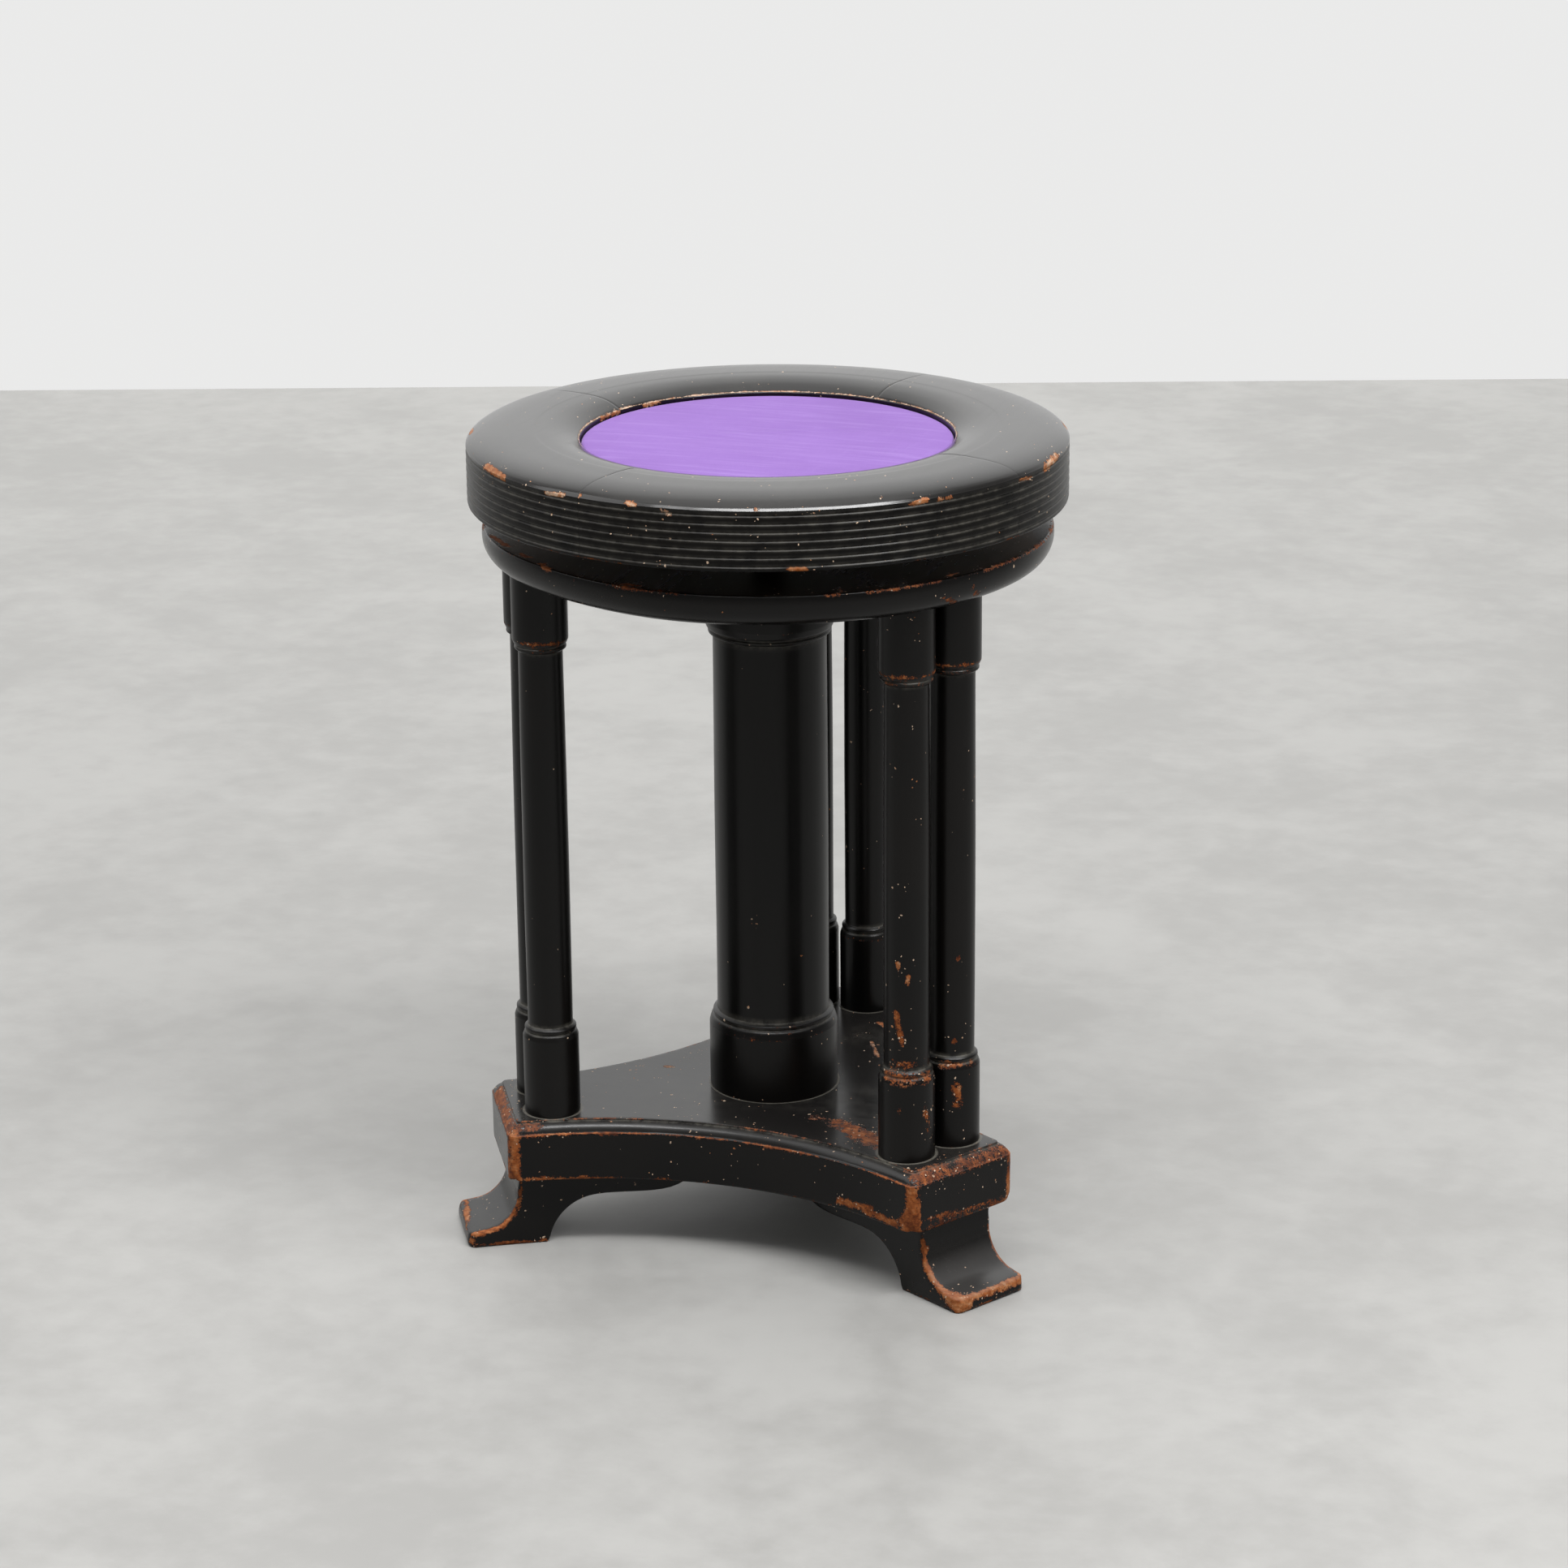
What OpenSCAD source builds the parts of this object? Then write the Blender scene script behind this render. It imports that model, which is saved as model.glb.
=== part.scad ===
// Adjustable piano stool of ebonised wood.
// A reeded round seat with an inset cloth panel turns on an iron screw. The screw runs in a threaded nut
// at the head of a thick hollow column. Three pairs of thin turned columns carry the fixed lower disc,
// and a three-cornered plinth on three shaped feet carries the columns.
// Origin: on the screw's axis at floor level. +Z is up, and one foot points along +Y.

/* [Seat] */
// Diameter of the seat ring
seat_d = 360; // [340:1:380]
// Diameter of the recess that holds the cloth panel
recess_d = 224; // [200:1:240]
// Height of the seat's rim, from its lower edge to the outer arris
rim_h = 36; // [32:1:42]
// Rise of the seat's dome above the outer arris
dome_h = 6.6; // [3:0.1:9]
// Number of reeds round the rim
reeds = 6; // [4:1:7]
// Depth of the grooves between the reeds
reed_depth = 0.7; // [0.3:0.1:1.2]
// Depth of the cloth below the recess's inner edge
panel_drop = 1; // [0.5:0.5:6]
// Direction of the first joint line between the seat's quarter segments
joint_angle = 72.5; // [0:0.5:89]
// Gap between the seat's rim and the lower disc as stored
seat_gap = 16.5; // [16.5:0.5:40]

/* [Lower disc] */
// Greatest diameter of the lower disc
disc_d = 343; // [330:1:356]
// Thickness of the lower disc
disc_t = 19.5; // [18:0.5:24]

/* [Columns] */
// Visible length of every column, from plinth to disc
column_l = 342; // [320:1:380]
// Diameter of the central column's shaft
centre_d = 69.6; // [64:0.2:74]
// Diameter of the central column's collars
centre_collar_d = 79.6; // [76:0.2:86]
// Diameter of a thin column's shaft at mid height
thin_d = 27.8; // [24:0.2:29]
// Diameter of a thin column's lower collar
thin_collar_d = 34.2; // [32:0.2:35]
// Distance of each pair's middle from the axis
pair_r = 142.5; // [138:0.5:148]
// Distance between the two columns of a pair
pair_gap = 36.6; // [36:0.2:42]
// Turn of the back pair of columns about the stool's axis, as it was set when made
back_turn = 1.5; // [-2:0.1:2]

/* [Plinth] */
// Height of the plinth's side face
plinth_face_h = 31; // [26:1:40]
// Height of the moulding above the side face
mould_h = 7; // [5:0.5:10]
// Width of the moulding in plan
mould_w = 6.5; // [4:0.5:9]
// Distance of each clipped corner's face from the axis
corner_r = 173.5; // [168:0.5:178]
// Width of each clipped corner's face
corner_w = 83.6; // [78:0.2:90]
// Distance from the axis to the nearest point of a concave side
waist_r = 86; // [78:1:94]

/* [Feet] */
// Height of the feet below the plinth
foot_h = 47; // [42:1:52]
// Width of the feet's boards
foot_w = 56; // [48:1:64]
// Distance of the toes from the axis
toe_r = 198.5; // [190:0.5:206]

/* [Screw] */
// Outer diameter of the iron screw
screw_d = 24; // [22:0.5:26]
// Lead of the screw thread
lead = 6; // [5:0.5:7]
// Depth of the thread
thread_depth = 2; // [1.5:0.1:2.4]
// Clearance of the thread in its nut
thread_clear = 0.3; // [0.25:0.05:0.4]

/* [Hidden] */
$fn = 64;

seat_r = seat_d / 2;
recess_r = recess_d / 2;
disc_r = disc_d / 2;
plinth_face_top = foot_h + plinth_face_h;
plinth_top = plinth_face_top + mould_h;
disc_z0 = plinth_top + column_l;
disc_z1 = disc_z0 + disc_t;
rim_z0 = disc_z1 + seat_gap;
arris_z = rim_z0 + rim_h;
board_z0 = rim_z0 + 2;
board_z1 = board_z0 + 16;
cloth_z = arris_z - panel_drop - 0.5;
pair_half = pair_gap / 2;
tenon_r = 8;
tenon_l = 12;
bore_r = 16;
spigot_r = 28;
spigot_l = 8;
nut_r = 20;
nut_flange_r = 40;
nut_flange_t = 5;
nut_z0 = disc_z0 - 27;
root_r = screw_d / 2 - thread_depth;
flange_r = 45;
hub_r = 17;
journal_r = 10.95;
shoulder_z = board_z0;
thread_z1 = board_z0 - 3;
thread_z0 = thread_z1 - 26 * lead;
washer_r = 15.2;
steps = 24;

black = [0.035, 0.033, 0.032];
iron = [0.23, 0.22, 0.21];
steel = [0.5, 0.48, 0.45];
raw_wood = [0.55, 0.36, 0.2];
cloth = [0.36, 0.12, 0.68];

// Points of an arc about (cx, cy) from angle a0 to a1 in n steps.
function arc(cx, cy, r, a0, a1, n) =
    [for (i = [0:n]) let (a = a0 + (a1 - a0) * i / n) [cx + r * cos(a), cy + r * sin(a)]];

// Turned member: revolves (radius, height) points.
module turned(points) { rotate_extrude($fn = 96) polygon(points); }

// Countersunk wood screw with its head's face at z = 0, pointing up, with a slot in its head.
module wood_screw(length, r, head_r) {
    difference() {
        union() {
            cylinder(h = head_r - r + 0.01, r1 = head_r, r2 = r, $fn = 32);
            translate([0, 0, head_r - r]) cylinder(h = length - 3 - head_r + r, r = r, $fn = 32);
            translate([0, 0, length - 3]) cylinder(h = 3, r1 = r, r2 = 0.4, $fn = 32);
        }
        translate([-head_r, -0.35, -1]) cube([2 * head_r, 0.7, 1.9]);
    }
}

// The hole that such a screw passes through.
module screw_hole(length, r, head_r) {
    translate([0, 0, -0.01]) cylinder(h = head_r - r + 0.21, r1 = head_r + 0.26, r2 = r + 0.05, $fn = 32);
    translate([0, 0, -0.01]) cylinder(h = length + 1, r = r + 0.05, $fn = 32);
}

// ---------------------------------------------------------------- feet

// Side outline of a foot in (radius, height): swept front, flat sole, and an arch into a long brace.
foot_points = concat(
    [[50, foot_h], [165.6, foot_h], [166.2, foot_h - 5], [167.1, foot_h - 11.5]],
    arc(190.2, 33.6, 23.1, 183, 259, 9),
    [[toe_r - 7, 10.2], [toe_r - 2.2, 9.4], [toe_r - 0.6, 8.2], [toe_r, 6.4], [toe_r, 2.2], [toe_r - 1.4, 0]],
    [[149.4, 0], [148, 1.4], [147, 4]],
    arc(115.6, -3.3, 32.4, 14, 88, 9),
    [[112, 29.4], [104, 29.2], [94, 28.7], [84, 28.4], [77, 28.7], [71.5, 29.5], [66.5, 31], [61.5, 33.6],
     [57, 37], [53, 41.5]]);

screw_places = [82, 116];

module foot(direction) {
    rotate([0, 0, direction]) difference() {
        rotate([90, 0, 0]) translate([0, 0, -foot_w / 2]) linear_extrude(height = foot_w) polygon(foot_points);
        for (x = screw_places) translate([x, 0, 31.5]) {
            screw_hole(40, 2.2, 4.4);
            translate([0, 0, -8]) cylinder(h = 8, r = 5, $fn = 32);
        }
    }
}

module foot_back() { color(black) foot(90); }
module foot_left() { color(black) foot(210); }
module foot_right() { color(black) foot(330); }

module foot_screws() {
    color(steel) for (a = [90, 210, 330], x = screw_places)
        rotate([0, 0, a]) translate([x, 0, 31.5]) wood_screw(38, 2.2, 4.4);
}

// ---------------------------------------------------------------- plinth

// A side's arc passes through two corners and the waist.
corner_d = corner_r * cos(60) + corner_w / 2 * sin(60);
corner_s = corner_r * sin(60) - corner_w / 2 * cos(60);
side_c = (corner_d * corner_d + corner_s * corner_s - waist_r * waist_r) / (2 * (corner_d - waist_r));
side_r = side_c - waist_r;

// Plan of the plinth, drawn in by a margin on every side.
module plinth_plan(inset) {
    difference() {
        intersection_for (a = [90, 210, 330]) rotate(a)
            translate([corner_r - inset - 600, -400]) square([600, 800]);
        for (a = [30, 150, 270]) rotate(a) translate([side_c, 0]) circle(r = side_r + inset, $fn = 180);
    }
}

// Moulding between side face and top, as steps along a hollow and a round: [height share, inset share].
mould = [[0, 0], [0.16, 0.1], [0.34, 0.26], [0.52, 0.46], [0.68, 0.68], [0.84, 0.86]];

// Calls its children at the foot of each thin column.
module at_columns() {
    for (a = [90 + back_turn, 210, 330], s = [-1, 1]) rotate([0, 0, a]) translate([pair_r, s * pair_half, 0]) children();
}

module plinth() {
    color(black) difference() {
        union() {
            translate([0, 0, foot_h]) linear_extrude(height = plinth_face_h) plinth_plan(0);
            for (i = [0:len(mould) - 1])
                translate([0, 0, plinth_face_top + mould[i][0] * mould_h])
                    linear_extrude(height = mould_h * (1 - mould[i][0])) plinth_plan(mould[i][1] * mould_w + 0.4);
        }
        translate([0, 0, foot_h - 1]) cylinder(h = 60, r = spigot_r + 0.05);
        at_columns() translate([0, 0, plinth_top - tenon_l - 0.5]) cylinder(h = 30, r = tenon_r + 0.05);
        for (a = [90, 210, 330], x = screw_places)
            rotate([0, 0, a]) translate([x, 0, foot_h - 1]) cylinder(h = 25, r = 2.25, $fn = 32);
    }
}

// ---------------------------------------------------------------- columns

cr = centre_d / 2;
ck = centre_collar_d / 2;

// Half of the central column's outline from its collar to mid height, as [radius, height above the base].
centre_half = [[ck, 0], [ck, 40.5], [ck - 0.25, 42.2], [ck - 0.8, 43.8], [ck - 1.5, 45.2], [ck - 2.1, 46],
    [ck - 2.7, 46.2], [ck - 2.7, 46.9], [ck - 2.3, 47.2], [ck - 2.2, 48], [ck - 2.6, 48.9],
    [ck - 3.5, 49.6], [cr + 0.25, 50], [cr - 0.05, 51.5], [cr - 0.05, 80], [cr + 0.1, 130], [cr + 0.15, 171]];

module central_column() {
    color(black) difference() {
        turned(concat(
            [[0, foot_h], [spigot_r, foot_h], [spigot_r, plinth_top]],
            [for (p = centre_half) [p[0], plinth_top + p[1]]],
            [for (i = [len(centre_half) - 2:-1:0])
                [centre_half[i][0] - (i > 12 ? 0.15 : 0), disc_z0 - centre_half[i][1]]],
            [[spigot_r, disc_z0], [spigot_r, disc_z0 + spigot_l], [0, disc_z0 + spigot_l]]));
        translate([0, 0, foot_h - 1]) cylinder(h = disc_z0 + 60, r = bore_r);
        translate([0, 0, nut_z0 - 1]) cylinder(h = 100, r = nut_r + 0.1);
    }
}

tr = thin_d / 2;
tk = thin_collar_d / 2;

// Ends of a thin column, as [radius, height above the base] for a collar of radius k on a shaft of radius s.
function thin_end(k, s) = [[k, 0], [k, 49.5], [k - 0.2, 51], [k - 0.7, 52.3], [k - 1.3, 53.1],
    [k - 1.9, 53.4], [k - 1.9, 54], [k - 1.5, 54.4], [k - 1.35, 55.4], [k - 1.7, 56.5],
    [k - 2.5, 57.2], [s + 0.1, 57.6], [s, 59]];
function thin_head(k, s) = [[k, 0], [k, 39.6], [k - 0.2, 41], [k - 0.7, 42], [k - 1.3, 42.6],
    [k - 1.7, 42.9], [k - 1.7, 43.3], [k - 1.4, 43.7], [k - 1.35, 44.6], [k - 1.7, 45.6],
    [k - 2.5, 46.3], [s + 0.1, 46.7], [s, 48]];

module thin_column(direction, side) {
    head = thin_head(tk - 0.2, tr - 0.55);
    rotate([0, 0, direction == 90 ? 90 + back_turn : direction]) translate([pair_r, side * pair_half, 0]) turned(concat(
        [[0, plinth_top - tenon_l], [tenon_r, plinth_top - tenon_l], [tenon_r, plinth_top]],
        [for (p = thin_end(tk, tr - 0.15)) [p[0], plinth_top + p[1]]],
        [[tr - 0.08, plinth_top + 90], [tr, plinth_top + 140], [tr - 0.02, plinth_top + 180],
         [tr - 0.2, plinth_top + 235], [tr - 0.45, plinth_top + 275]],
        [for (i = [len(head) - 1:-1:0]) [head[i][0], disc_z0 - head[i][1]]],
        [[tenon_r, disc_z0], [tenon_r, disc_z0 + tenon_l], [0, disc_z0 + tenon_l]]));
}

module column_back_left() { color(black) thin_column(90, 1); }
module column_back_right() { color(black) thin_column(90, -1); }
module column_left_back() { color(black) thin_column(210, -1); }
module column_left_front() { color(black) thin_column(210, 1); }
module column_right_front() { color(black) thin_column(330, -1); }
module column_right_back() { color(black) thin_column(330, 1); }

// ---------------------------------------------------------------- lower disc and nut

module top_disc() {
    color(black) difference() {
        turned(concat([[0, disc_z0], [disc_r - 11.5, disc_z0]],
            arc(disc_r - 11.5, disc_z0 + 11.5, 11.5, -90, 0, 8),
            arc(disc_r - 5, disc_z0 + 11.5, 5, 0, 50, 4),
            [[disc_r - 3.5, disc_z1 - 1.6], [disc_r - 4.2, disc_z1 - 0.4], [disc_r - 5.2, disc_z1], [0, disc_z1]]));
        translate([0, 0, disc_z0 - 1]) cylinder(h = 60, r = nut_r + 0.1);
        translate([0, 0, disc_z1 - nut_flange_t]) cylinder(h = 20, r = nut_flange_r + 0.1);
        translate([0, 0, disc_z0 - 1]) cylinder(h = spigot_l + 1.2, r = spigot_r + 0.05);
        at_columns() translate([0, 0, disc_z0 - 1]) cylinder(h = tenon_l + 1.5, r = tenon_r + 0.05);
        for (a = [45:90:315]) rotate([0, 0, a]) translate([33.5, 0, disc_z1 - 17])
            cylinder(h = 20, r = 2.05, $fn = 32);
    }
}

// Screw thread as one closed form: a shaft of n ridges above z0 whose first and last ridges grow out of
// the root. r0 is the root's radius, r1 the crest's, w0 and w1 the ridge's width at root and crest.
module thread(z0, z1, n, zc, r0, r1, w0, w1) {
    // Ridge k's centre on column j, and how far it stands out there.
    function centre(j, k) = zc + lead * (k + j / steps);
    function grown(j, k) = max(0, min(1, (k * steps + j) / 12, ((n - 1) * steps + steps - 1 - k * steps - j) / 12));
    function ring(j) = let (a = 360 * j / steps) concat(
        [[r0 * cos(a), r0 * sin(a), z0]],
        [for (k = [0:n - 1], q = [0:3]) let (
            out = (q == 1 || q == 2) ? r0 + (r1 - r0) * grown(j, k) : r0,
            dz = [-w0 / 2, -w1 / 2, w1 / 2, w0 / 2][q])
            [out * cos(a), out * sin(a), centre(j, k) + dz]],
        [[r0 * cos(a), r0 * sin(a), z1]]);
    m = 4 * n + 2;
    points = [for (j = [0:steps - 1]) each ring(j)];
    function at(j, i) = j * m + i;
    // Strips between neighbouring columns.
    strips = [for (j = [0:steps - 2], i = [0:m - 2]) [at(j, i), at(j, i + 1), at(j + 1, i + 1), at(j + 1, i)]];
    // The last column meets the first one turn higher.
    last = steps - 1;
    seam = [for (i = [1:m - 7]) [at(last, i), at(last, i + 1), at(0, i + 5), at(0, i + 4)]];
    foot_face = concat([[at(last, 0), at(last, 1), at(0, 0)]],
        [for (i = [0:4]) [at(last, 1), at(0, i + 1), at(0, i)]]);
    head_face = concat([for (i = [m - 6:m - 2]) [at(last, i), at(last, i + 1), at(0, m - 2)]],
        [[at(last, m - 1), at(0, m - 1), at(0, m - 2)]]);
    bottom = [[for (j = [0:steps - 1]) at(j, 0)]];
    top = [[for (j = [steps - 1:-1:0]) at(j, m - 1)]];
    polyhedron(points = points, faces = concat(strips, seam, foot_face, head_face, bottom, top), convexity = 10);
}

module thread_nut() {
    color(iron) difference() {
        union() {
            translate([0, 0, nut_z0]) cylinder(h = disc_z1 - nut_z0, r = nut_r);
            translate([0, 0, disc_z1 - nut_flange_t + 0.05]) cylinder(h = nut_flange_t - 0.05, r = nut_flange_r);
        }
        thread(z0 = thread_z1 - 15 * lead - 8, z1 = thread_z1 + 8, n = 14,
            zc = thread_z0 + lead / 2 + 11 * lead, r0 = root_r + thread_clear, r1 = screw_d / 2 + thread_clear,
            w0 = 4.2 + 2 * thread_clear, w1 = 1.6 + 2 * thread_clear);
        for (a = [45:90:315]) rotate([0, 0, a]) translate([33.5, 0, disc_z1]) mirror([0, 0, 1])
            screw_hole(20, 2, 4);
    }
}

module nut_screws() {
    color(steel) for (a = [45:90:315]) rotate([0, 0, a]) translate([33.5, 0, disc_z1 - 0.1])
        mirror([0, 0, 1]) rotate([0, 0, a * 2]) wood_screw(16, 2, 4);
}

// ---------------------------------------------------------------- screw

module spindle() {
    color(iron) difference() {
        union() {
            thread(z0 = thread_z0, z1 = thread_z1, n = 25, zc = thread_z0 + lead / 2,
                r0 = root_r, r1 = screw_d / 2, w0 = 4.2, w1 = 1.6);
            translate([0, 0, thread_z1]) cylinder(h = 3, r = root_r - 0.2);
            translate([0, 0, shoulder_z]) cylinder(h = 14, r = root_r - 0.2);
            translate([0, 0, thread_z0 - 10]) cylinder(h = 10, r = 8);
        }
        translate([0, 0, board_z0 + 10.5]) rotate([0, 90, 0]) cylinder(h = 60, r = 2.05, center = true, $fn = 32);
        translate([0, 0, thread_z0 - 5.5]) rotate([0, 90, 0]) cylinder(h = 60, r = 1.55, center = true, $fn = 32);
    }
}

module stop_pin() {
    color(steel) translate([0, 0, thread_z0 - 5.5]) rotate([0, 90, 0])
        cylinder(h = 24, r = 1.5, center = true, $fn = 32);
}

module stop_washer() {
    color(iron) translate([0, 0, thread_z0 - 3.4]) difference() {
        cylinder(h = 3, r = washer_r);
        translate([0, 0, -1]) cylinder(h = 5, r = 8.4);
    }
}

module seat_flange() {
    color(iron) difference() {
        turned([[root_r - 0.15, board_z0], [flange_r - 1, board_z0], [flange_r, board_z0 + 1], [flange_r, board_z0 + 4.5],
            [flange_r - 1.5, board_z0 + 6], [hub_r + 2, board_z0 + 6], [hub_r, board_z0 + 8],
            [hub_r, board_z0 + 14], [hub_r - 1, board_z0 + 15], [root_r - 0.15, board_z0 + 15]]);
        translate([0, 0, board_z0 + 10.5]) rotate([0, 90, 0]) cylinder(h = 60, r = 2.05, center = true, $fn = 32);
        for (a = [0:90:270]) rotate([0, 0, a + 45]) translate([34, 0, board_z0]) screw_hole(20, 2, 4);
    }
}

module flange_pin() {
    color(steel) translate([0, 0, board_z0 + 10.5]) rotate([0, 90, 0])
        cylinder(h = 2 * hub_r - 1, r = 2, center = true, $fn = 32);
}

module flange_screws() {
    color(steel) for (a = [45:90:315]) rotate([0, 0, a]) translate([34, 0, board_z0 + 0.1])
        rotate([0, 0, a * 2]) wood_screw(15, 2, 4);
}

// ---------------------------------------------------------------- seat

panel_screw_r = 70;
ring_screw_r = 140;

module seat_base_board() {
    color(raw_wood) difference() {
        turned([[0, board_z0], [164, board_z0], [165, board_z0 + 1], [165, board_z1], [0, board_z1]]);
        translate([0, 0, board_z0 - 1]) cylinder(h = 30, r = hub_r + 0.2);
        translate([0, 0, board_z0 - 1]) cylinder(h = 7.1, r = flange_r + 0.2);
        translate([0, 0, board_z0 + 6]) cylinder(h = 2.2, r1 = hub_r + 2.3, r2 = hub_r + 0.2);
        for (a = [45:90:315]) rotate([0, 0, a]) translate([34, 0, board_z0]) cylinder(h = 15.5, r = 2.05, $fn = 32);
        for (a = [90, 210, 330]) rotate([0, 0, a]) translate([panel_screw_r, 0, board_z0 - 0.01])
            screw_hole(30, 2, 4);
        for (a = [0:45:315]) rotate([0, 0, joint_angle + 22.5 + a]) translate([ring_screw_r, 0, board_z0 - 0.01])
            screw_hole(30, 2.2, 4.4);
    }
}

// Section of the seat ring: reeded rim, dome, recess edge, and a rebate below for the base board.
reed_p = (arris_z - rim_z0 - 6.5) / reeds;
ring_section = concat(
    [[165.2, rim_z0], [seat_r - 1.2, rim_z0], [seat_r - 0.2, rim_z0 + 0.8]],
    [for (i = [0:reeds]) let (z = rim_z0 + 2.9 + i * reed_p)
        each [[seat_r, z - 0.75], [seat_r - reed_depth, z - 0.1], [seat_r - reed_depth, z + 0.1], [seat_r, z + 0.75]]],
    [[seat_r, arris_z - 1.4], [seat_r - 0.3, arris_z - 0.5], [seat_r - 1.2, arris_z + dome_h * 0.15],
     [seat_r - 3.5, arris_z + dome_h * 0.36], [seat_r - 7, arris_z + dome_h * 0.58],
     [seat_r - 12, arris_z + dome_h * 0.77], [seat_r - 20, arris_z + dome_h * 0.92],
     [seat_r - 30, arris_z + dome_h * 0.98], [seat_r - 40, arris_z + dome_h],
     [recess_r + 18, arris_z + dome_h * 0.93], [recess_r + 10, arris_z + dome_h * 0.68],
     [recess_r + 5, arris_z + dome_h * 0.4], [recess_r + 2, arris_z + dome_h * 0.17],
     [recess_r + 0.6, arris_z + dome_h * 0.02], [recess_r, arris_z - 0.5],
     [recess_r, board_z1], [165.2, board_z1]]);

// Dowels lie across each joint line, two to a joint.
dowel_places = [[128, board_z1 + 10], [154, board_z1 + 10]];

module ring_segment(index) {
    color(black) rotate([0, 0, joint_angle + 90 * index]) difference() {
        rotate([0, 0, 0.03]) rotate_extrude(angle = 89.94, $fn = 160) polygon(ring_section);
        for (p = dowel_places) {
            translate([p[0], 0, p[1]]) rotate([90, 0, 0]) cylinder(h = 31, r = 4.05, center = true, $fn = 32);
            rotate([0, 0, 90]) translate([p[0], 0, p[1]]) rotate([90, 0, 0])
                cylinder(h = 31, r = 4.05, center = true, $fn = 32);
        }
        for (a = [22.5, 67.5]) rotate([0, 0, a]) translate([ring_screw_r, 0, board_z1 - 1])
            cylinder(h = 17, r = 2.25, $fn = 32);
    }
}

module ring_segment_1() { ring_segment(0); }
module ring_segment_2() { ring_segment(1); }
module ring_segment_3() { ring_segment(2); }
module ring_segment_4() { ring_segment(3); }

module segment_dowels() {
    color(raw_wood) for (a = [0:90:270], p = dowel_places) rotate([0, 0, joint_angle + a])
        translate([p[0], 0, p[1]]) rotate([90, 0, 0]) cylinder(h = 30, r = 4, center = true, $fn = 32);
}

module ring_screws() {
    color(steel) for (a = [0:45:315]) rotate([0, 0, joint_angle + 22.5 + a])
        translate([ring_screw_r, 0, board_z0 + 0.1]) wood_screw(30, 2.2, 4.4);
}

// ---------------------------------------------------------------- cloth panel

panel_r = recess_r - 0.4;
cloth_t = 1;
hem_in = panel_r - 17;
tack_r = panel_r - 9;
pad_z0 = board_z1 + cloth_t + 6;

module panel_board() {
    color(raw_wood) difference() {
        turned([[0, board_z1 + cloth_t], [panel_r - cloth_t - 0.2, board_z1 + cloth_t],
            [panel_r - cloth_t - 0.2, pad_z0], [0, pad_z0]]);
        for (a = [90, 210, 330]) rotate([0, 0, a]) translate([panel_screw_r, 0, board_z1])
            cylinder(h = 5.5, r = 2.05, $fn = 32);
        for (a = [0:22.5:337.5]) rotate([0, 0, a]) translate([tack_r, 0, board_z1])
            cylinder(h = 6, r = 0.75, $fn = 24);
    }
}

module panel_pad() {
    color([0.8, 0.78, 0.7]) turned([[0, pad_z0], [panel_r - cloth_t - 0.6, pad_z0],
        [panel_r - cloth_t - 0.6, cloth_z - cloth_t - 1.2], [panel_r - cloth_t - 2, cloth_z - cloth_t], [0, cloth_z - cloth_t]]);
}

module panel_cover() {
    color(cloth) difference() {
        turned([[hem_in, board_z1], [panel_r, board_z1], [panel_r, cloth_z - 2], [panel_r - 2, cloth_z], [0, cloth_z],
            [0, cloth_z - cloth_t + 0.05], [panel_r - cloth_t - 1.8, cloth_z - cloth_t + 0.05],
            [panel_r - cloth_t + 0.05, cloth_z - cloth_t - 1.4], [panel_r - cloth_t, board_z1 + cloth_t], [hem_in, board_z1 + cloth_t]]);
        for (a = [0:22.5:337.5]) rotate([0, 0, a]) translate([tack_r, 0, board_z1 - 1])
            cylinder(h = 4, r = 3.1, $fn = 32);
    }
}

module cover_tacks() {
    color(iron) for (a = [0:22.5:337.5]) rotate([0, 0, a]) translate([tack_r, 0, board_z1 + 0.1]) {
        cylinder(h = 0.8, r = 3, $fn = 32);
        translate([0, 0, 0.8]) cylinder(h = 5, r1 = 0.7, r2 = 0.2, $fn = 24);
    }
}

module panel_screws() {
    color(steel) for (a = [90, 210, 330]) rotate([0, 0, a])
        translate([panel_screw_r, 0, board_z0 + 0.1]) wood_screw(21, 2, 4);
}

foot_back();
foot_left();
foot_right();
foot_screws();
plinth();
central_column();
column_back_left();
column_back_right();
column_left_back();
column_left_front();
column_right_front();
column_right_back();
top_disc();
thread_nut();
nut_screws();
stop_washer();
spindle();
stop_pin();
seat_flange();
flange_pin();
flange_screws();
seat_base_board();
ring_segment_1();
ring_segment_2();
ring_segment_3();
ring_segment_4();
segment_dowels();
ring_screws();
panel_board();
panel_pad();
panel_cover();
cover_tacks();
panel_screws();
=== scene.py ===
import math
import bpy
import numpy as np
from mathutils import Matrix, Vector, geometry, kdtree


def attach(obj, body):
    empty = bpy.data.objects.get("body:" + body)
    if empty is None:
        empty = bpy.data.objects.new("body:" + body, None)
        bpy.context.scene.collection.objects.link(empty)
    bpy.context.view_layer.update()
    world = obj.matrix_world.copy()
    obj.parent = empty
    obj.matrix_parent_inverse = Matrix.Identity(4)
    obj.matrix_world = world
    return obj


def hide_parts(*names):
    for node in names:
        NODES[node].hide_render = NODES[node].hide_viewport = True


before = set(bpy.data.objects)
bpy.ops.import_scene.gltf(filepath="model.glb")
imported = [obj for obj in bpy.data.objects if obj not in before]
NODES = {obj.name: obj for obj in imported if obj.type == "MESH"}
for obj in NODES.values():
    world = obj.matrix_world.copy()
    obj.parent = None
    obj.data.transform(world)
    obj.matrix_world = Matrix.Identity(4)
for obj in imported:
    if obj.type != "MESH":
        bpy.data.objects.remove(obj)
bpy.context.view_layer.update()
scene = bpy.context.scene
MM = 0.001

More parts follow.
